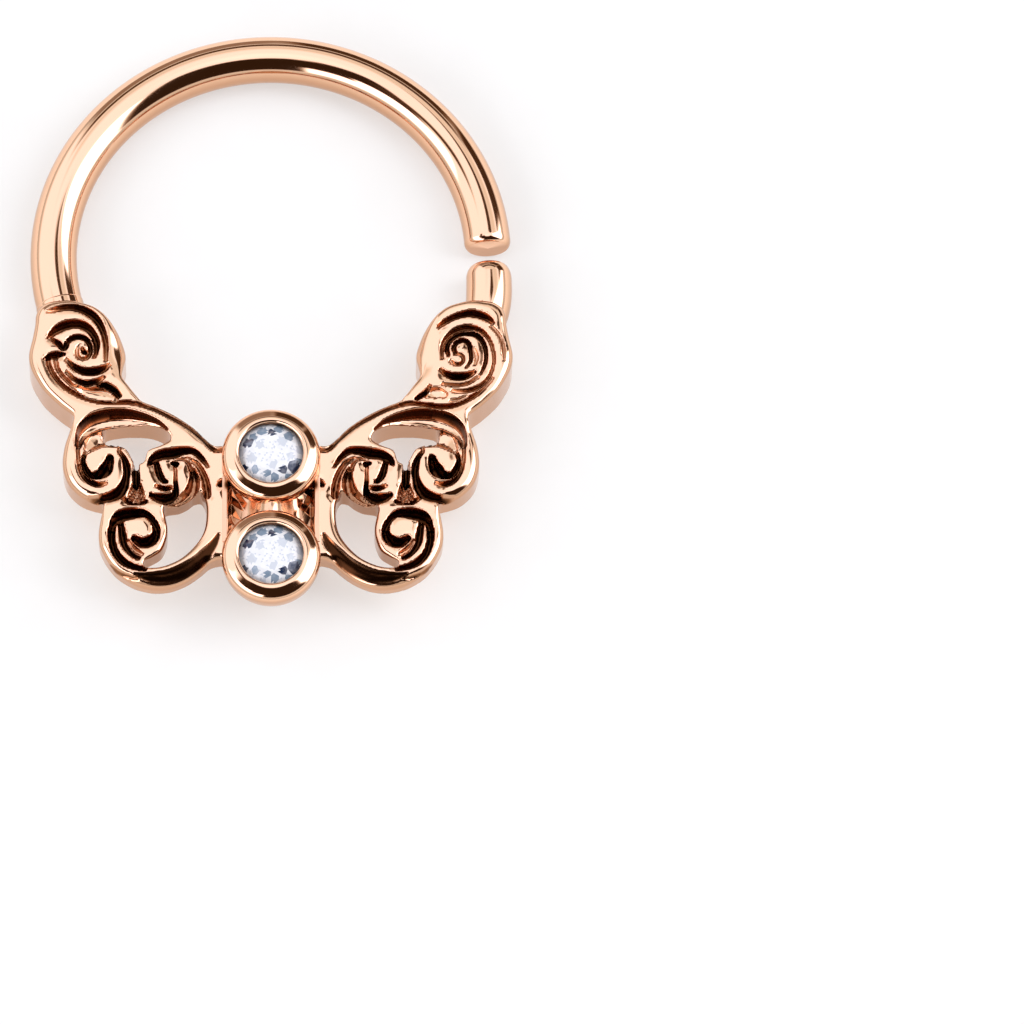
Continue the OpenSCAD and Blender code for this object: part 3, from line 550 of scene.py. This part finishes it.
# the right shoulder was carved by hand too and differs; its lines are drawn as if on the left
RIGHT_CUTS = {
    "under_wire": [[-5.68, -2.26, 0.02, 0.1], [-5.55, -2.13, 0.05, 0.2], [-5.35, -2.03, 0.06, 0.24],
        [-5.1, -1.99, 0.055, 0.24], [-4.88, -2.03, 0.045, 0.22], [-4.65, -2.12, 0.04, 0.2],
        [-4.45, -2.24, 0.035, 0.18], [-4.3, -2.37, 0.02, 0.1]],
    "spiral_cut": [[-4.38, -3.25, 0.01, 0.06], [-4.38, -2.95, 0.015, 0.12], [-4.47, -2.7, 0.02, 0.16],
        [-4.65, -2.5, 0.025, 0.2], [-4.85, -2.4, 0.03, 0.2], [-5.1, -2.37, 0.03, 0.2],
        [-5.35, -2.45, 0.02, 0.18], [-5.56, -2.68, 0.015, 0.14], [-5.68, -3.0, 0.01, 0.12],
        [-5.7, -3.35, 0.01, 0.12], [-5.6, -3.7, 0.015, 0.14], [-5.38, -3.98, 0.02, 0.16],
        [-5.1, -4.12, 0.025, 0.16], [-4.85, -4.16, 0.02, 0.12], [-4.65, -4.15, 0.015, 0.06]],
    "wedge": [[-4.54, -3.15, 0.015, 0.12], [-4.5, -2.95, 0.025, 0.2], [-4.57, -2.73, 0.04, 0.24],
        [-4.75, -2.57, 0.045, 0.26], [-5.0, -2.52, 0.045, 0.26], [-5.24, -2.58, 0.04, 0.24],
        [-5.42, -2.78, 0.025, 0.2], [-5.5, -3.08, 0.015, 0.18], [-5.48, -3.38, 0.015, 0.16],
        [-5.36, -3.68, 0.01, 0.08]],
    "inner_cut": [[-4.72, -3.1, 0.02, 0.12], [-4.68, -2.92, 0.025, 0.18], [-4.78, -2.78, 0.03, 0.2],
        [-4.95, -2.74, 0.03, 0.2], [-5.06, -2.84, 0.025, 0.2], [-5.11, -3.05, 0.02, 0.18],
        [-5.11, -3.3, 0.015, 0.14], [-5.0, -3.48, 0.01, 0.06]],
    "knob_pit": [[-4.76, -3.13, 0.01, 0.08], [-4.88, -3.16, 0.015, 0.12], [-4.92, -3.28, 0.015, 0.14],
        [-4.84, -3.4, 0.015, 0.14], [-4.7, -3.4, 0.015, 0.12], [-4.6, -3.32, 0.01, 0.06]],
    "lower_crescent": [[-4.34, -3.56, 0.015, 0.1], [-4.5, -3.68, 0.045, 0.24], [-4.75, -3.75, 0.06, 0.3],
        [-5.0, -3.72, 0.05, 0.26], [-5.2, -3.63, 0.02, 0.12]],
    "leaf_pit": [[-5.2, -2.98, 0.01, 0.05], [-5.26, -3.2, 0.02, 0.07], [-5.22, -3.42, 0.01, 0.05]],
    "second_crescent": [[-4.4, -3.96, 0.015, 0.08], [-4.75, -3.99, 0.015, 0.12],
        [-5.05, -3.93, 0.015, 0.12], [-5.3, -3.76, 0.01, 0.06]],
    "shoulder_cut": [[-5.66, -3.8, 0.015, 0.08], [-5.32, -4.18, 0.025, 0.16], [-4.96, -4.42, 0.03, 0.2],
        [-4.6, -4.56, 0.03, 0.2], [-4.3, -4.58, 0.03, 0.2], [-3.9, -4.52, 0.025, 0.18],
        [-3.6, -4.49, 0.025, 0.16], [-3.3, -4.53, 0.025, 0.14]],
    "inner_shoulder_cut": [[-5.0, -4.3, 0.01, 0.05], [-4.8, -4.38, 0.01, 0.07],
        [-4.6, -4.42, 0.01, 0.05]],
    "pocket": [[-4.4, -4.24, 0.07, 0.1], [-4.28, -4.2, 0.1, 0.14], [-4.14, -4.2, 0.1, 0.16],
        [-4.0, -4.27, 0.05, 0.12]],
    "pocket_wall": [[-4.06, -4.0, 0.01, 0.1], [-3.98, -4.14, 0.025, 0.22], [-3.84, -4.27, 0.03, 0.24],
        [-3.72, -4.36, 0.02, 0.16]],
    "band_step": [[-5.64, -2.34, 0.01, 0.05], [-5.86, -2.62, 0.015, 0.07], [-5.95, -2.95, 0.015, 0.07],
        [-5.96, -3.3, 0.01, 0.04]],
}
LEFT = {name: smooth_line(rows) for name, rows in CUTS.items()}
RIGHT = {name: smooth_line(rows) for name, rows in {**CUTS, **RIGHT_CUTS}.items()}
print(len(LEFT), "cuts on the left,", len(RIGHT), "on the right")


# %% [markdown]
# ### Distances
# For a point, the nearest sample of a line is found first among every eighth
# one and then among its neighbours, and a parabola through the last three gives
# the true foot of the perpendicular.


# %% Distance helpers
def near_line(line, xy, stride=8):
    """Signed distance to a line (left of it positive), and its other columns at that place."""
    coarse = line[::stride, :2]
    i = ((xy[:, None, :] - coarse[None]) ** 2).sum(-1).argmin(1) * stride
    j = np.clip(i[:, None] + np.arange(-stride, stride + 1), 0, len(line) - 1)
    gap = ((xy[:, None, :] - line[j, :2]) ** 2).sum(-1)
    i = j[np.arange(len(xy)), gap.argmin(1)]
    j = np.clip(i, 1, len(line) - 2)
    f0, f1, f2 = (((xy - line[j + k, :2]) ** 2).sum(-1) for k in (-1, 0, 1))
    curve = np.maximum(f0 - 2 * f1 + f2, 1e-12)
    t = np.clip((f0 - f2) / (2 * curve), -1.0, 1.0)
    d = np.sqrt(np.maximum(f1 + (f2 - f0) / 2 * t + curve / 2 * t ** 2, 0))
    along = line[j + 1, :2] - line[j - 1, :2]
    off = xy - line[j, :2]
    side = np.sign(along[:, 0] * off[:, 1] - along[:, 1] * off[:, 0])
    low = np.minimum((j + t).astype(int), len(line) - 2)
    part = (j + t - low)[:, None]
    return d * side, line[low, 2:] * (1 - part) + line[low + 1, 2:] * part


def to_loop(loop, xy):
    """Signed distance to a closed loop, negative inside, and its rounding there."""
    turn = np.sum(loop[:-1, 0] * loop[1:, 1] - loop[1:, 0] * loop[:-1, 1])
    d, more = near_line(loop, xy)
    return -d * np.sign(turn), more[:, 0]


def soft_max(a, b, k):
    """The larger of two fields, with a fillet of about k where they meet."""
    h = np.maximum(k - np.abs(a - b), 0) / k
    return np.maximum(a, b) + h * h * k / 4


# %% [markdown]
# ### The height of the top
# The carver starts from a smooth plate with a rounded edge and cuts into it. A
# cut is flat along its line and then rises to nought at about one and a half
# times its half width, so what is left between two cuts is a soft ridge. We
# could take the deepest cut at each place, but that leaves a crease where two
# meet; the fourth root of the sum of their fourth powers is nearly the same and
# has none. The metal beside a cut sinks a little too, since polishing takes the
# most where the metal stands thin.


# %% Height map
# wide cuts whose floor is left pale, so only their walls get painted shade
PALE_FLOOR = {"pocket", "recess_patch", "upper_bevel"}
FLAT_FLOOR = {"pocket", "recess_patch"}
# how much painted shade a cut gets, where it isn't all of it
SHADE_SHARE = {"shoulder_cut": 0.75, "inner_shoulder_cut": 0.6, "rim_wall": 0.55, "leaf_line": 0.6,
        "curl_edge": 0.6, "band_step": 1.6, "top_line": 1.6, "side_recess": 0.5, "strip_line": 0.8,
        "leaf_pit": 0.8, "under_wire": 0.9, "spiral_cut": 0.85, "upper_bevel": 1.3, "low_band": 4.0,
        "outer_line": 2.0, "pocket": 0.5, "recess_patch": 0.6}
DOME, DOME_REACH = 0.027, 0.25


def cut_depth(xy, cuts, shade=False):
    """How deep the plate is cut at each point: depth * (1 - u^2)^2 from each line, where u
    runs from 0 at the edge of the cut's flat bottom to 1 at its rim, and the fourth root of
    the sum of the fourth powers over the cuts. Each cut but a flat-floored one also sinks its
    surroundings by a dome of the same form, which leaves the metal between two cuts rounded.
    With shade, also how much painted shade each point gets: all of a narrow cut, the wall of a wide one."""
    deep, dome, painted_shading = np.zeros((3, len(xy)))
    for name, line in cuts.items():
        wide = max(line[:, 2].max() * 1.7, 0.2) + 0.12
        near = np.flatnonzero(((xy > line[:, :2].min(0) - wide) & (xy < line[:, :2].max(0) + wide)).all(1))
        d, side = near_line(line, xy[near])
        w, h = side.T
        if name == "fan":
            x, y = xy[near].T
            grain = np.sin(44 * x + 13 * y) * np.sin(47 * y - 9 * x + 1) + 0.6 * np.sin(71 * x - 38 * y)
            h = h * (1 + 0.2 * grain)
        flat, wall = (0.8, 0.5) if name in FLAT_FLOOR else (0.35, 1.05)
        u = np.clip((np.abs(d) - w * flat) / (w * wall + 0.045), 0, 1)
        part = (1 - u * u) ** 2
        deep[near] = (deep[near] ** 4 + (h * part) ** 4) ** 0.25
        if name not in FLAT_FLOOR:
            away = np.clip(np.abs(d) / DOME_REACH, 0, 1)
            dome[near] += DOME * np.clip((h - 0.06) / 0.2, 0, 1) * (1 - away ** 2) ** 2
        # painted shade of this cut; in the fan it is broken up by the grain
        tone = 3.2 * part * (1 - part) if name in PALE_FLOOR else np.clip((part - 0.3) / 0.6, 0, 1)
        tone = tone * SHADE_SHARE.get(name, 1.0) * np.clip(h / 0.22, 0.3, 1)
        if name == "fan":
            tone = np.clip(part * 3, 0, 1) * np.clip(0.25 - 0.5 * grain, 0.0, 0.8)
        painted_shading[near] = np.maximum(painted_shading[near], tone)
    deep = deep + dome
    return (deep, np.clip(painted_shading, 0, 1)) if shade else deep


def ease(value, low, high):
    """0 under low, 1 over high, 3t^2 - 2t^3 between."""
    t = np.clip((value - low) / (high - low), 0, 1)
    return t * t * (3 - 2 * t)


def top_height(xy, cuts):
    """Plateau less the cuts: it sinks a little towards the wing's lower end, and steps down
    at the spiral's inner side."""
    plateau = rim_z - 0.03 * np.clip((-xy[:, 1] - 4.5) / 4.5, 0, 1)
    tier = np.clip((xy[:, 0] + 4.28) / 0.5, 0, 1) * ease(xy[:, 1], -4.2, -2.8)
    return plateau - cut_depth(xy, cuts) - 0.25 * tier ** 1.5


def back_height(xy):
    """Height of the back, which rises towards the wing's lower end."""
    return 0.08 + 0.92 * np.clip((-xy[:, 1] - 2.2) / 7.2, 0, 1) ** 1.1


def ornament(xy, z, cuts):
    """Negative in the metal: a plate from the height map down to the back. At the outline and
    at each opening its edge is rounded as a quarter of an ellipse, wide r and 0.8 r high."""
    top, back = top_height(xy, cuts)[:, None], back_height(xy)[:, None]
    total = back - z
    for loop, sign in ((OUTLINE, 1), (UPPER_HOLE, -1), (CRESCENT, -1)):
        d, r = (v[:, None] for v in to_loop(loop, xy))
        drop = r * 0.8
        u, v = np.maximum(sign * d / r + 1, 0), np.maximum((z - top) / drop + 1, 0)
        size, rate = np.hypot(u, v), np.hypot(u / r, v / drop)
        dist = (size - 1) * np.where(size > 1e-3, size / np.maximum(rate, 1e-9), drop)
        total = soft_max(total, dist, 0.05)
    return total


# %% [markdown]
# ### The surface of the field
# The field is sampled on a grid. In each cell that the surface passes through
# goes one point, and each grid edge that it crosses becomes a quad between the
# four cells round it. The points are then slid along the field's slope until it
# is nought there, so the surface is exact and not stepped like the grid.


# %% From field to surface
def crossings(values):
    """Points (in grid steps) and quads where a sampled field changes sign."""
    inside = values < 0
    n = np.array(values.shape) - 1
    count = sum(inside[i:n[0] + i, j:n[1] + j, k:n[2] + k].astype(np.int8)
                for i in (0, 1) for j in (0, 1) for k in (0, 1))
    cell = np.argwhere((count > 0) & (count < 8))
    index = np.full(n, -1, np.int32)
    index[tuple(cell.T)] = np.arange(len(cell))
    total, hits = np.zeros((len(cell), 3)), np.zeros(len(cell))
    quads = []
    for axis in range(3):
        u, v = (axis + 1) % 3, (axis + 2) % 3
        step = np.eye(3, dtype=int)
        for du in (0, 1):
            for dv in (0, 1):
                p = cell + du * step[u] + dv * step[v]
                a, b = values[tuple(p.T)], values[tuple((p + step[axis]).T)]
                cut = (a < 0) != (b < 0)
                t = np.where(cut, a / np.where(cut, a - b, 1), 0)
                total += cut[:, None] * (p + t[:, None] * step[axis])
                hits += cut
        low = [slice(None)] * 3
        high = [slice(None)] * 3
        low[axis], high[axis] = slice(0, -1), slice(1, None)
        a, b = inside[tuple(low)], inside[tuple(high)]
        edge = np.argwhere(a != b)
        edge = edge[(edge[:, u] > 0) & (edge[:, v] > 0) & (edge[:, u] < n[u]) & (edge[:, v] < n[v])]
        around = [edge - step[u] - step[v], edge - step[v], edge, edge - step[u]]
        quad = np.stack([index[tuple(c.T)] for c in around], -1)
        outwards = a[tuple(edge.T)]
        quads.append(np.where(outwards[:, None], quad, quad[:, ::-1]))
    return total / hits[:, None], np.vstack(quads)


def slope(field, p, h=0.003):
    """The field and its slope at points, from small steps along each axis."""
    here = field(p[:, :2], p[:, 2:3] + [0, h])
    steps = [field(p[:, :2] + s, p[:, 2:3])[:, 0] for s in ([h, 0], [0, h])]
    return here[:, 0], (np.stack([*steps, here[:, 1]], -1) - here[:, :1]) / h


def settle(field, p, quads):
    """Slides points onto the surface, evens out their spacing along it, and slides them again."""
    for turn in range(4):
        f, g = slope(field, p)
        if turn == 1:
            ends = np.concatenate([quads, np.roll(quads, 1, 1)]).reshape(-1)
            others = np.concatenate([np.roll(quads, 1, 1), quads]).reshape(-1)
            weight = np.bincount(ends, minlength=len(p))
            mean = np.stack([np.bincount(ends, p[others, k], len(p)) for k in range(3)], -1)
            pull = mean / weight[:, None] - p
            normal = g / np.linalg.norm(g, axis=1, keepdims=True).clip(1e-9)
            p = p + 0.6 * (pull - (pull * normal).sum(1, keepdims=True) * normal)
        else:
            p = p - np.clip(f / np.maximum((g ** 2).sum(1), 0.05), -0.03, 0.03)[:, None] * g
    f, g = slope(field, p)
    print("points off the surface: at most", round(float(np.abs(f).max()), 4), "mm, mean",
          round(float(np.abs(f).mean()), 6))
    return p, g / np.linalg.norm(g, axis=1, keepdims=True).clip(1e-9)


CELL = np.array([0.042, 0.042, 0.05])
xs = np.arange(-6.3, -0.8, CELL[0])
ys = np.arange(-9.6, -1.35, CELL[1])
zs = np.arange(-0.05, 1.8, CELL[2])
plane = np.stack(np.meshgrid(xs, ys, indexing="ij"), -1).reshape(-1, 2)
flip = np.array([-1.0, 1.0, 1.0])


def casting(name, cuts, mirrored):
    """One shoulder with its wing: the field's surface, with painted shade in its cuts, on the
    opening's wall, and faintly on the sides; mirrored at x = 0 if asked."""
    field = lambda xy, z: ornament(xy, z, cuts)
    values = field(plane, np.broadcast_to(zs, (len(plane), len(zs)))).reshape(len(xs), len(ys), len(zs))
    points, quads = crossings(values)
    points, normals = settle(field, np.array([xs[0], ys[0], zs[0]]) + points * CELL, quads)
    xy, z, up = points[:, :2], points[:, 2], normals[:, 2]
    # painted shade: from the cuts, on the wall of the crescent opening, and faintly on the steep sides
    hollow = cut_depth(xy, cuts, True)[1] * (z > 0.75) * (up > 0.05)
    gap = np.abs(to_loop(CRESCENT, xy)[0])
    below = top_height(xy, cuts) - z
    beside, under, not_back = (0.28 - gap) / 0.1, below / 0.08 - 0.3, up / 0.2 + 1
    wall = np.clip(beside, 0, 1) * np.clip(under, 0, 1) * np.clip(not_back, 0, 1)
    side = np.clip((0.9 - np.abs(up)) / 0.45, 0, 1)
    hollow = np.maximum(np.maximum(hollow, 0.45 * wall * (z > 0.6)), 0.3 * side)
    if mirrored:
        points, normals, quads = points * flip, normals * flip, quads[:, ::-1]
    made = piece(name, points, quads, gold, normals=normals, hollow=hollow)
    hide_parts("ring_frame")
    return made


casting("left_casting", LEFT, False)
casting("right_casting", RIGHT, True)

# %% [markdown]
# ## The cups
# A bezel is a strip of metal bent round the stone and pushed over its edge, so
# its lip slopes outwards and reaches a little over the stone. Three parts could
# be stacked, a cone, a ring and a lip, but their joints would show. It is one
# profile turned round an axis, so we carry the profile round as one grid, from
# the middle of the back, up the outside, over the lip and down into the seat.


# %% Bezel cups
def turned(name, y, profile, material, segments=144):
    """A profile of (radius, height) turned round the upright axis at y, with painted shade in the
    seat and faint painted shade on the outside under the lip."""
    profile = np.asarray(profile, float)
    b = np.linspace(0, 2 * np.pi, segments, endpoint=False)
    ring = np.stack([np.cos(b), np.sin(b)], -1)
    rows = np.concatenate([profile[:, None, :1] * ring[None], np.broadcast_to(
        profile[:, None, 1:], (len(profile), segments, 1))], -1)
    radius, z = profile.T
    inside = (radius < 0.875) & (z > 1.7) & (z < 2.235)
    # painted shade: darker on the seat's inner wall round the stone, faint on the outside below the lip
    painted_shading = np.where(inside, 0.7, 0.3 * np.clip((2.16 - z) / 0.2, 0, 1))
    return piece(name, rows.reshape(-1, 3) + [0, y, 0], grid_faces(len(profile), segments), material,
                 hollow=np.repeat(painted_shading, segments))


def soft_profile(corners, radius, steps=7):
    """A profile with each corner cut back and replaced by a quadratic curve."""
    c = np.asarray(corners, float)
    before, after = c[:-2] - c[1:-1], c[2:] - c[1:-1]
    r = np.asarray(radius, float)[:, None]
    cut_a = np.minimum(r / np.linalg.norm(before, axis=1, keepdims=True), 0.49)
    cut_b = np.minimum(r / np.linalg.norm(after, axis=1, keepdims=True), 0.49)
    p0, p2 = c[1:-1] + before * cut_a, c[1:-1] + after * cut_b
    t = np.linspace(0, 1, steps)[None, :, None]
    mid = (1 - t) ** 2 * p0[:, None] + 2 * t * (1 - t) * c[1:-1][:, None] + t ** 2 * p2[:, None]
    return np.vstack([c[:1], mid.reshape(-1, 2), c[-1:]])


# radius, height, and how far from the corner its rounding starts
CUP = np.array([[0.5, 0.0, 0.1], [0.95, 1.05, 0.3], [1.22, 1.6, 0.35], [1.262, 1.9, 0.16],
                [1.248, 2.08, 0.09], [1.15, 2.188, 0.05], [0.955, 2.28, 0.055], [0.87, 2.287, 0.045],
                [0.81, 2.23, 0.05], [0.805, 2.125, 0.03], [0.868, 2.09, 0.015], [0.868, 1.96, 0.02],
                [0.7, 1.85, 0.03]])
cup = soft_profile([[0.0, 0.0], *CUP[:, :2], [0.0, 1.2]], CUP[:, 2])
for name, y in (("upper_cup", upper_y), ("lower_cup", lower_y)):
    made = turned(name, y, cup, gold)
    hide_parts("ring_frame")

# %% [markdown]
# ## Between the cups
# The two cups stand on one gallery. Between them the metal rises to a saddle,
# and on each side of it lies a corner that no file reaches, still rough from the
# mould. It is a height over a rectangle: the top and the bottom are two grids
# and their borders are joined, which gives a closed slab.


# %% Gallery between the cups
def slab(x, y, top, bottom):
    """Points and quads of a closed slab: a grid of tops, a grid of bottoms, and a wall
    that joins the two grids along their border."""
    rows, columns = top.shape
    across, down = np.meshgrid(x, y, indexing="ij")
    upper = np.stack([across, down, top], -1).reshape(-1, 3)
    lower = np.stack([across, down, bottom], -1).reshape(-1, 3)
    tops = grid_faces(rows, columns, False, False)
    n = np.arange(rows * columns).reshape(rows, columns)
    edge = np.concatenate([n[:-1, 0], n[-1, :-1], n[:0:-1, -1], n[0, :0:-1]])
    ahead, below = np.roll(edge, -1), rows * columns
    wall = np.stack([edge, edge + below, ahead + below, ahead], -1)
    return np.vstack([upper, lower]), np.vstack([tops[:, ::-1], tops + below, wall])


x = np.linspace(-1.24, 1.24, 170)
y = np.linspace(-8.3, -6.5, 130)
across, down = np.meshgrid(x, y, indexing="ij")
side = np.abs(across)
middle_y = (upper_y + lower_y) / 2
off = np.abs(down - middle_y)
saddle = 1.36 + 0.66 * np.exp(-(side / 0.5) ** 2) - 0.35 * off ** 2 * np.exp(-(side / 0.5) ** 2)
facets = np.abs(((across * 1.3 + down * 1.9) % 1) - 0.5) + np.abs(((side * 2.4 - down * 1.2) % 1) - 0.5)
corner = ease(side, 0.55, 0.85) * (1 - ease(side, 1.02, 1.12))
top = saddle + 0.14 * (facets - 0.5) * corner + 0.27 * ease(side, 1.0, 1.12)
notch = np.exp(-((side - 1.13) / 0.06) ** 2 - ((down + 6.75) / 0.12) ** 2)
# painted shade: faint over the whole top, darker in the rough corners beside the saddle and at a notch on
# each side
painted_shading = 0.12 + corner * (0.16 + 0.26 * facets) + 0.9 * notch
points, quads = slab(x, y, top, 0 * top + 0.45)
hollow = np.concatenate([np.clip(painted_shading, 0, 1).ravel(), np.zeros(top.size)])
gallery = piece("gallery", points, quads, gold, hollow=hollow)
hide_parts("ring_frame")

# %% [markdown]
# ## The stones
# A round brilliant has a flat table, eight stars, eight kites and sixteen small
# facets down to its edge. What we see in it is the studio, broken up by the
# facets underneath. Glass that bends light would need the whole pavilion lit, so
# each facet is given the tone that it sends back: most are white, some are grey
# blue, and a few that look into the dark are navy. The facets are cut into
# smaller triangles in their own planes, so that a dark glint can be smaller
# than a facet and has a ragged edge, as real ones have.

# %% Stones
glassy = bpy.data.materials.new("clear_stone")
tree = Tree(glassy)
tone = tree.node("ShaderNodeAttribute", {"attribute_name": "tone"}, out=0)
# painted reflection: a faint grey veil from noise laid over the facet tones
haze = tree.node("ShaderNodeTexNoise", None,
                 {0: tree.node("ShaderNodeTexCoord", out=3), "Scale": 7000.0, "Detail": 3.0})
veiled = tree.mix(haze.step(0.4, 0.7) * 0.28, tone, (0.69, 0.71, 0.72, 1))
skin = tree.node("ShaderNodeBsdfPrincipled", None,
                 {"Base Color": veiled, "Metallic": 0.0, "Roughness": 0.12, "IOR": 1.6})
tree.node("ShaderNodeOutputMaterial", None, {0: skin})


def ring_of(count, radius, z, turn=0.0):
    """Points evenly round a circle, the first one turned by a share of the step."""
    a = (np.arange(count) + turn) * 2 * np.pi / count
    return np.column_stack([radius * np.cos(a), radius * np.sin(a), np.full(count, z)])


def split(points, faces):
    """Each triangle becomes four, through the middles of its edges; equal points are merged."""
    a, b, c = (points[faces[:, k]] for k in range(3))
    ab, bc, ca = (a + b) / 2, (b + c) / 2, (c + a) / 2
    four = ((a, ab, ca), (ab, b, bc), (ca, bc, c), (ab, bc, ca))
    corners = np.concatenate([np.stack(t, 1) for t in four])
    merged, index = np.unique(np.round(corners.reshape(-1, 3), 6), axis=0, return_inverse=True)
    return merged, index.reshape(-1, 3)


# x, y, reach and darkness of the places in a stone that look into the dark
DARK_SPOTS = np.array([
    [0.02, 0.56, 0.1, 3], [-0.58, 0.28, 0.13, 3], [0.3, -0.47, 0.1, 3], [0.6, -0.36, 0.16, 3],
    [0.72, -0.2, 0.08, 2], [-0.68, -0.4, 0.1, 3], [-0.22, 0.6, 0.12, 2], [0.2, 0.68, 0.12, 2],
    [0.45, 0.47, 0.13, 2], [-0.45, 0.45, 0.1, 2], [-0.4, -0.47, 0.1, 2], [0.1, -0.66, 0.1, 2],
    [-0.1, -0.56, 0.08, 2], [-0.75, 0.05, 0.1, 1], [0.74, 0.12, 0.12, 1], [-0.3, 0.72, 0.1, 1],
    [0.3, 0.3, 0.12, 1], [-0.3, 0.2, 0.1, 1], [0.5, -0.1, 0.1, 1], [-0.5, -0.15, 0.12, 1],
    [0.05, -0.35, 0.1, 1], [-0.2, -0.75, 0.1, 1], [0.45, -0.65, 0.1, 2]])
# the colours that a facet can send back, from light to dark
PALETTE = np.array([[0.9, 0.91, 0.87, 1], [0.64, 0.68, 0.7, 1],
                    [0.22, 0.3, 0.37, 1], [0.015, 0.03, 0.07, 1]])


def brilliant(name, y, node):
    """Triangles between rings of 8 and 16 points: centre, inner star, table, kites, girdle, culet."""
    z = girdle_z + 0.025
    i = np.arange(8)
    j = (i + 1) % 8
    rings = [ring_of(1, 0, z + 0.2), ring_of(8, 0.27, z + 0.2, 0.5), ring_of(8, 0.51, z + 0.2),
             ring_of(8, 0.69, z + 0.12, 0.5), ring_of(16, stone_r, z), ring_of(16, stone_r, z - 0.05),
             ring_of(1, 0, z - 0.75)]
    points = np.vstack(rings)
    c, star, table, kite, edge, under, culet = np.cumsum([0] + [len(r) for r in rings[:-1]])
    e = np.arange(16)
    f = (e + 1) % 16
    faces = np.vstack([
        np.stack([0 * i + c, star + (i - 1) % 8, star + i], -1),
        np.stack([star + i, table + i, table + j], -1),
        np.stack([table + i, star + i, star + (i - 1) % 8], -1),
        np.stack([table + i, kite + i, table + j], -1),
        np.stack([table + i, kite + (i - 1) % 8, edge + 2 * i], -1),
        np.stack([table + i, edge + 2 * i, kite + i], -1),
        np.stack([kite + i, edge + 2 * i, edge + 2 * i + 1], -1),
        np.stack([kite + i, edge + 2 * i + 1, edge + (2 * i + 2) % 16], -1),
        np.stack([edge + e, under + e, edge + f], -1), np.stack([edge + f, under + e, under + f], -1),
        np.stack([under + e, 0 * e + culet, under + f], -1)])
    points, faces = split(*split(points, faces))
    ups = (np.cross(points[faces[:, 1]] - points[faces[:, 0]], points[faces[:, 2]] - points[faces[:, 0]])
           * (points[faces].mean(1) - [0, 0, z - 0.2])).sum(1)
    faces = np.where(ups[:, None] > 0, faces, faces[:, ::-1])
    middle = points[faces].mean(1)
    gap = np.linalg.norm(middle[:, None, :2] - DARK_SPOTS[:, :2], axis=2)
    rank = np.where(gap < DARK_SPOTS[:, 2], DARK_SPOTS[:, 3], 0).max(1).astype(int)
    rank = np.where((rank == 0) & (np.arange(len(faces)) * 7 % 9 == 0), 1, rank)
    made = piece(name, points + [0, y, 0], faces, glassy, smooth=False, tone=PALETTE[rank])
    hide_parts(node)
    return made


brilliant("upper_brilliant", upper_y, "upper_stone")
brilliant("lower_brilliant", lower_y, "lower_stone")
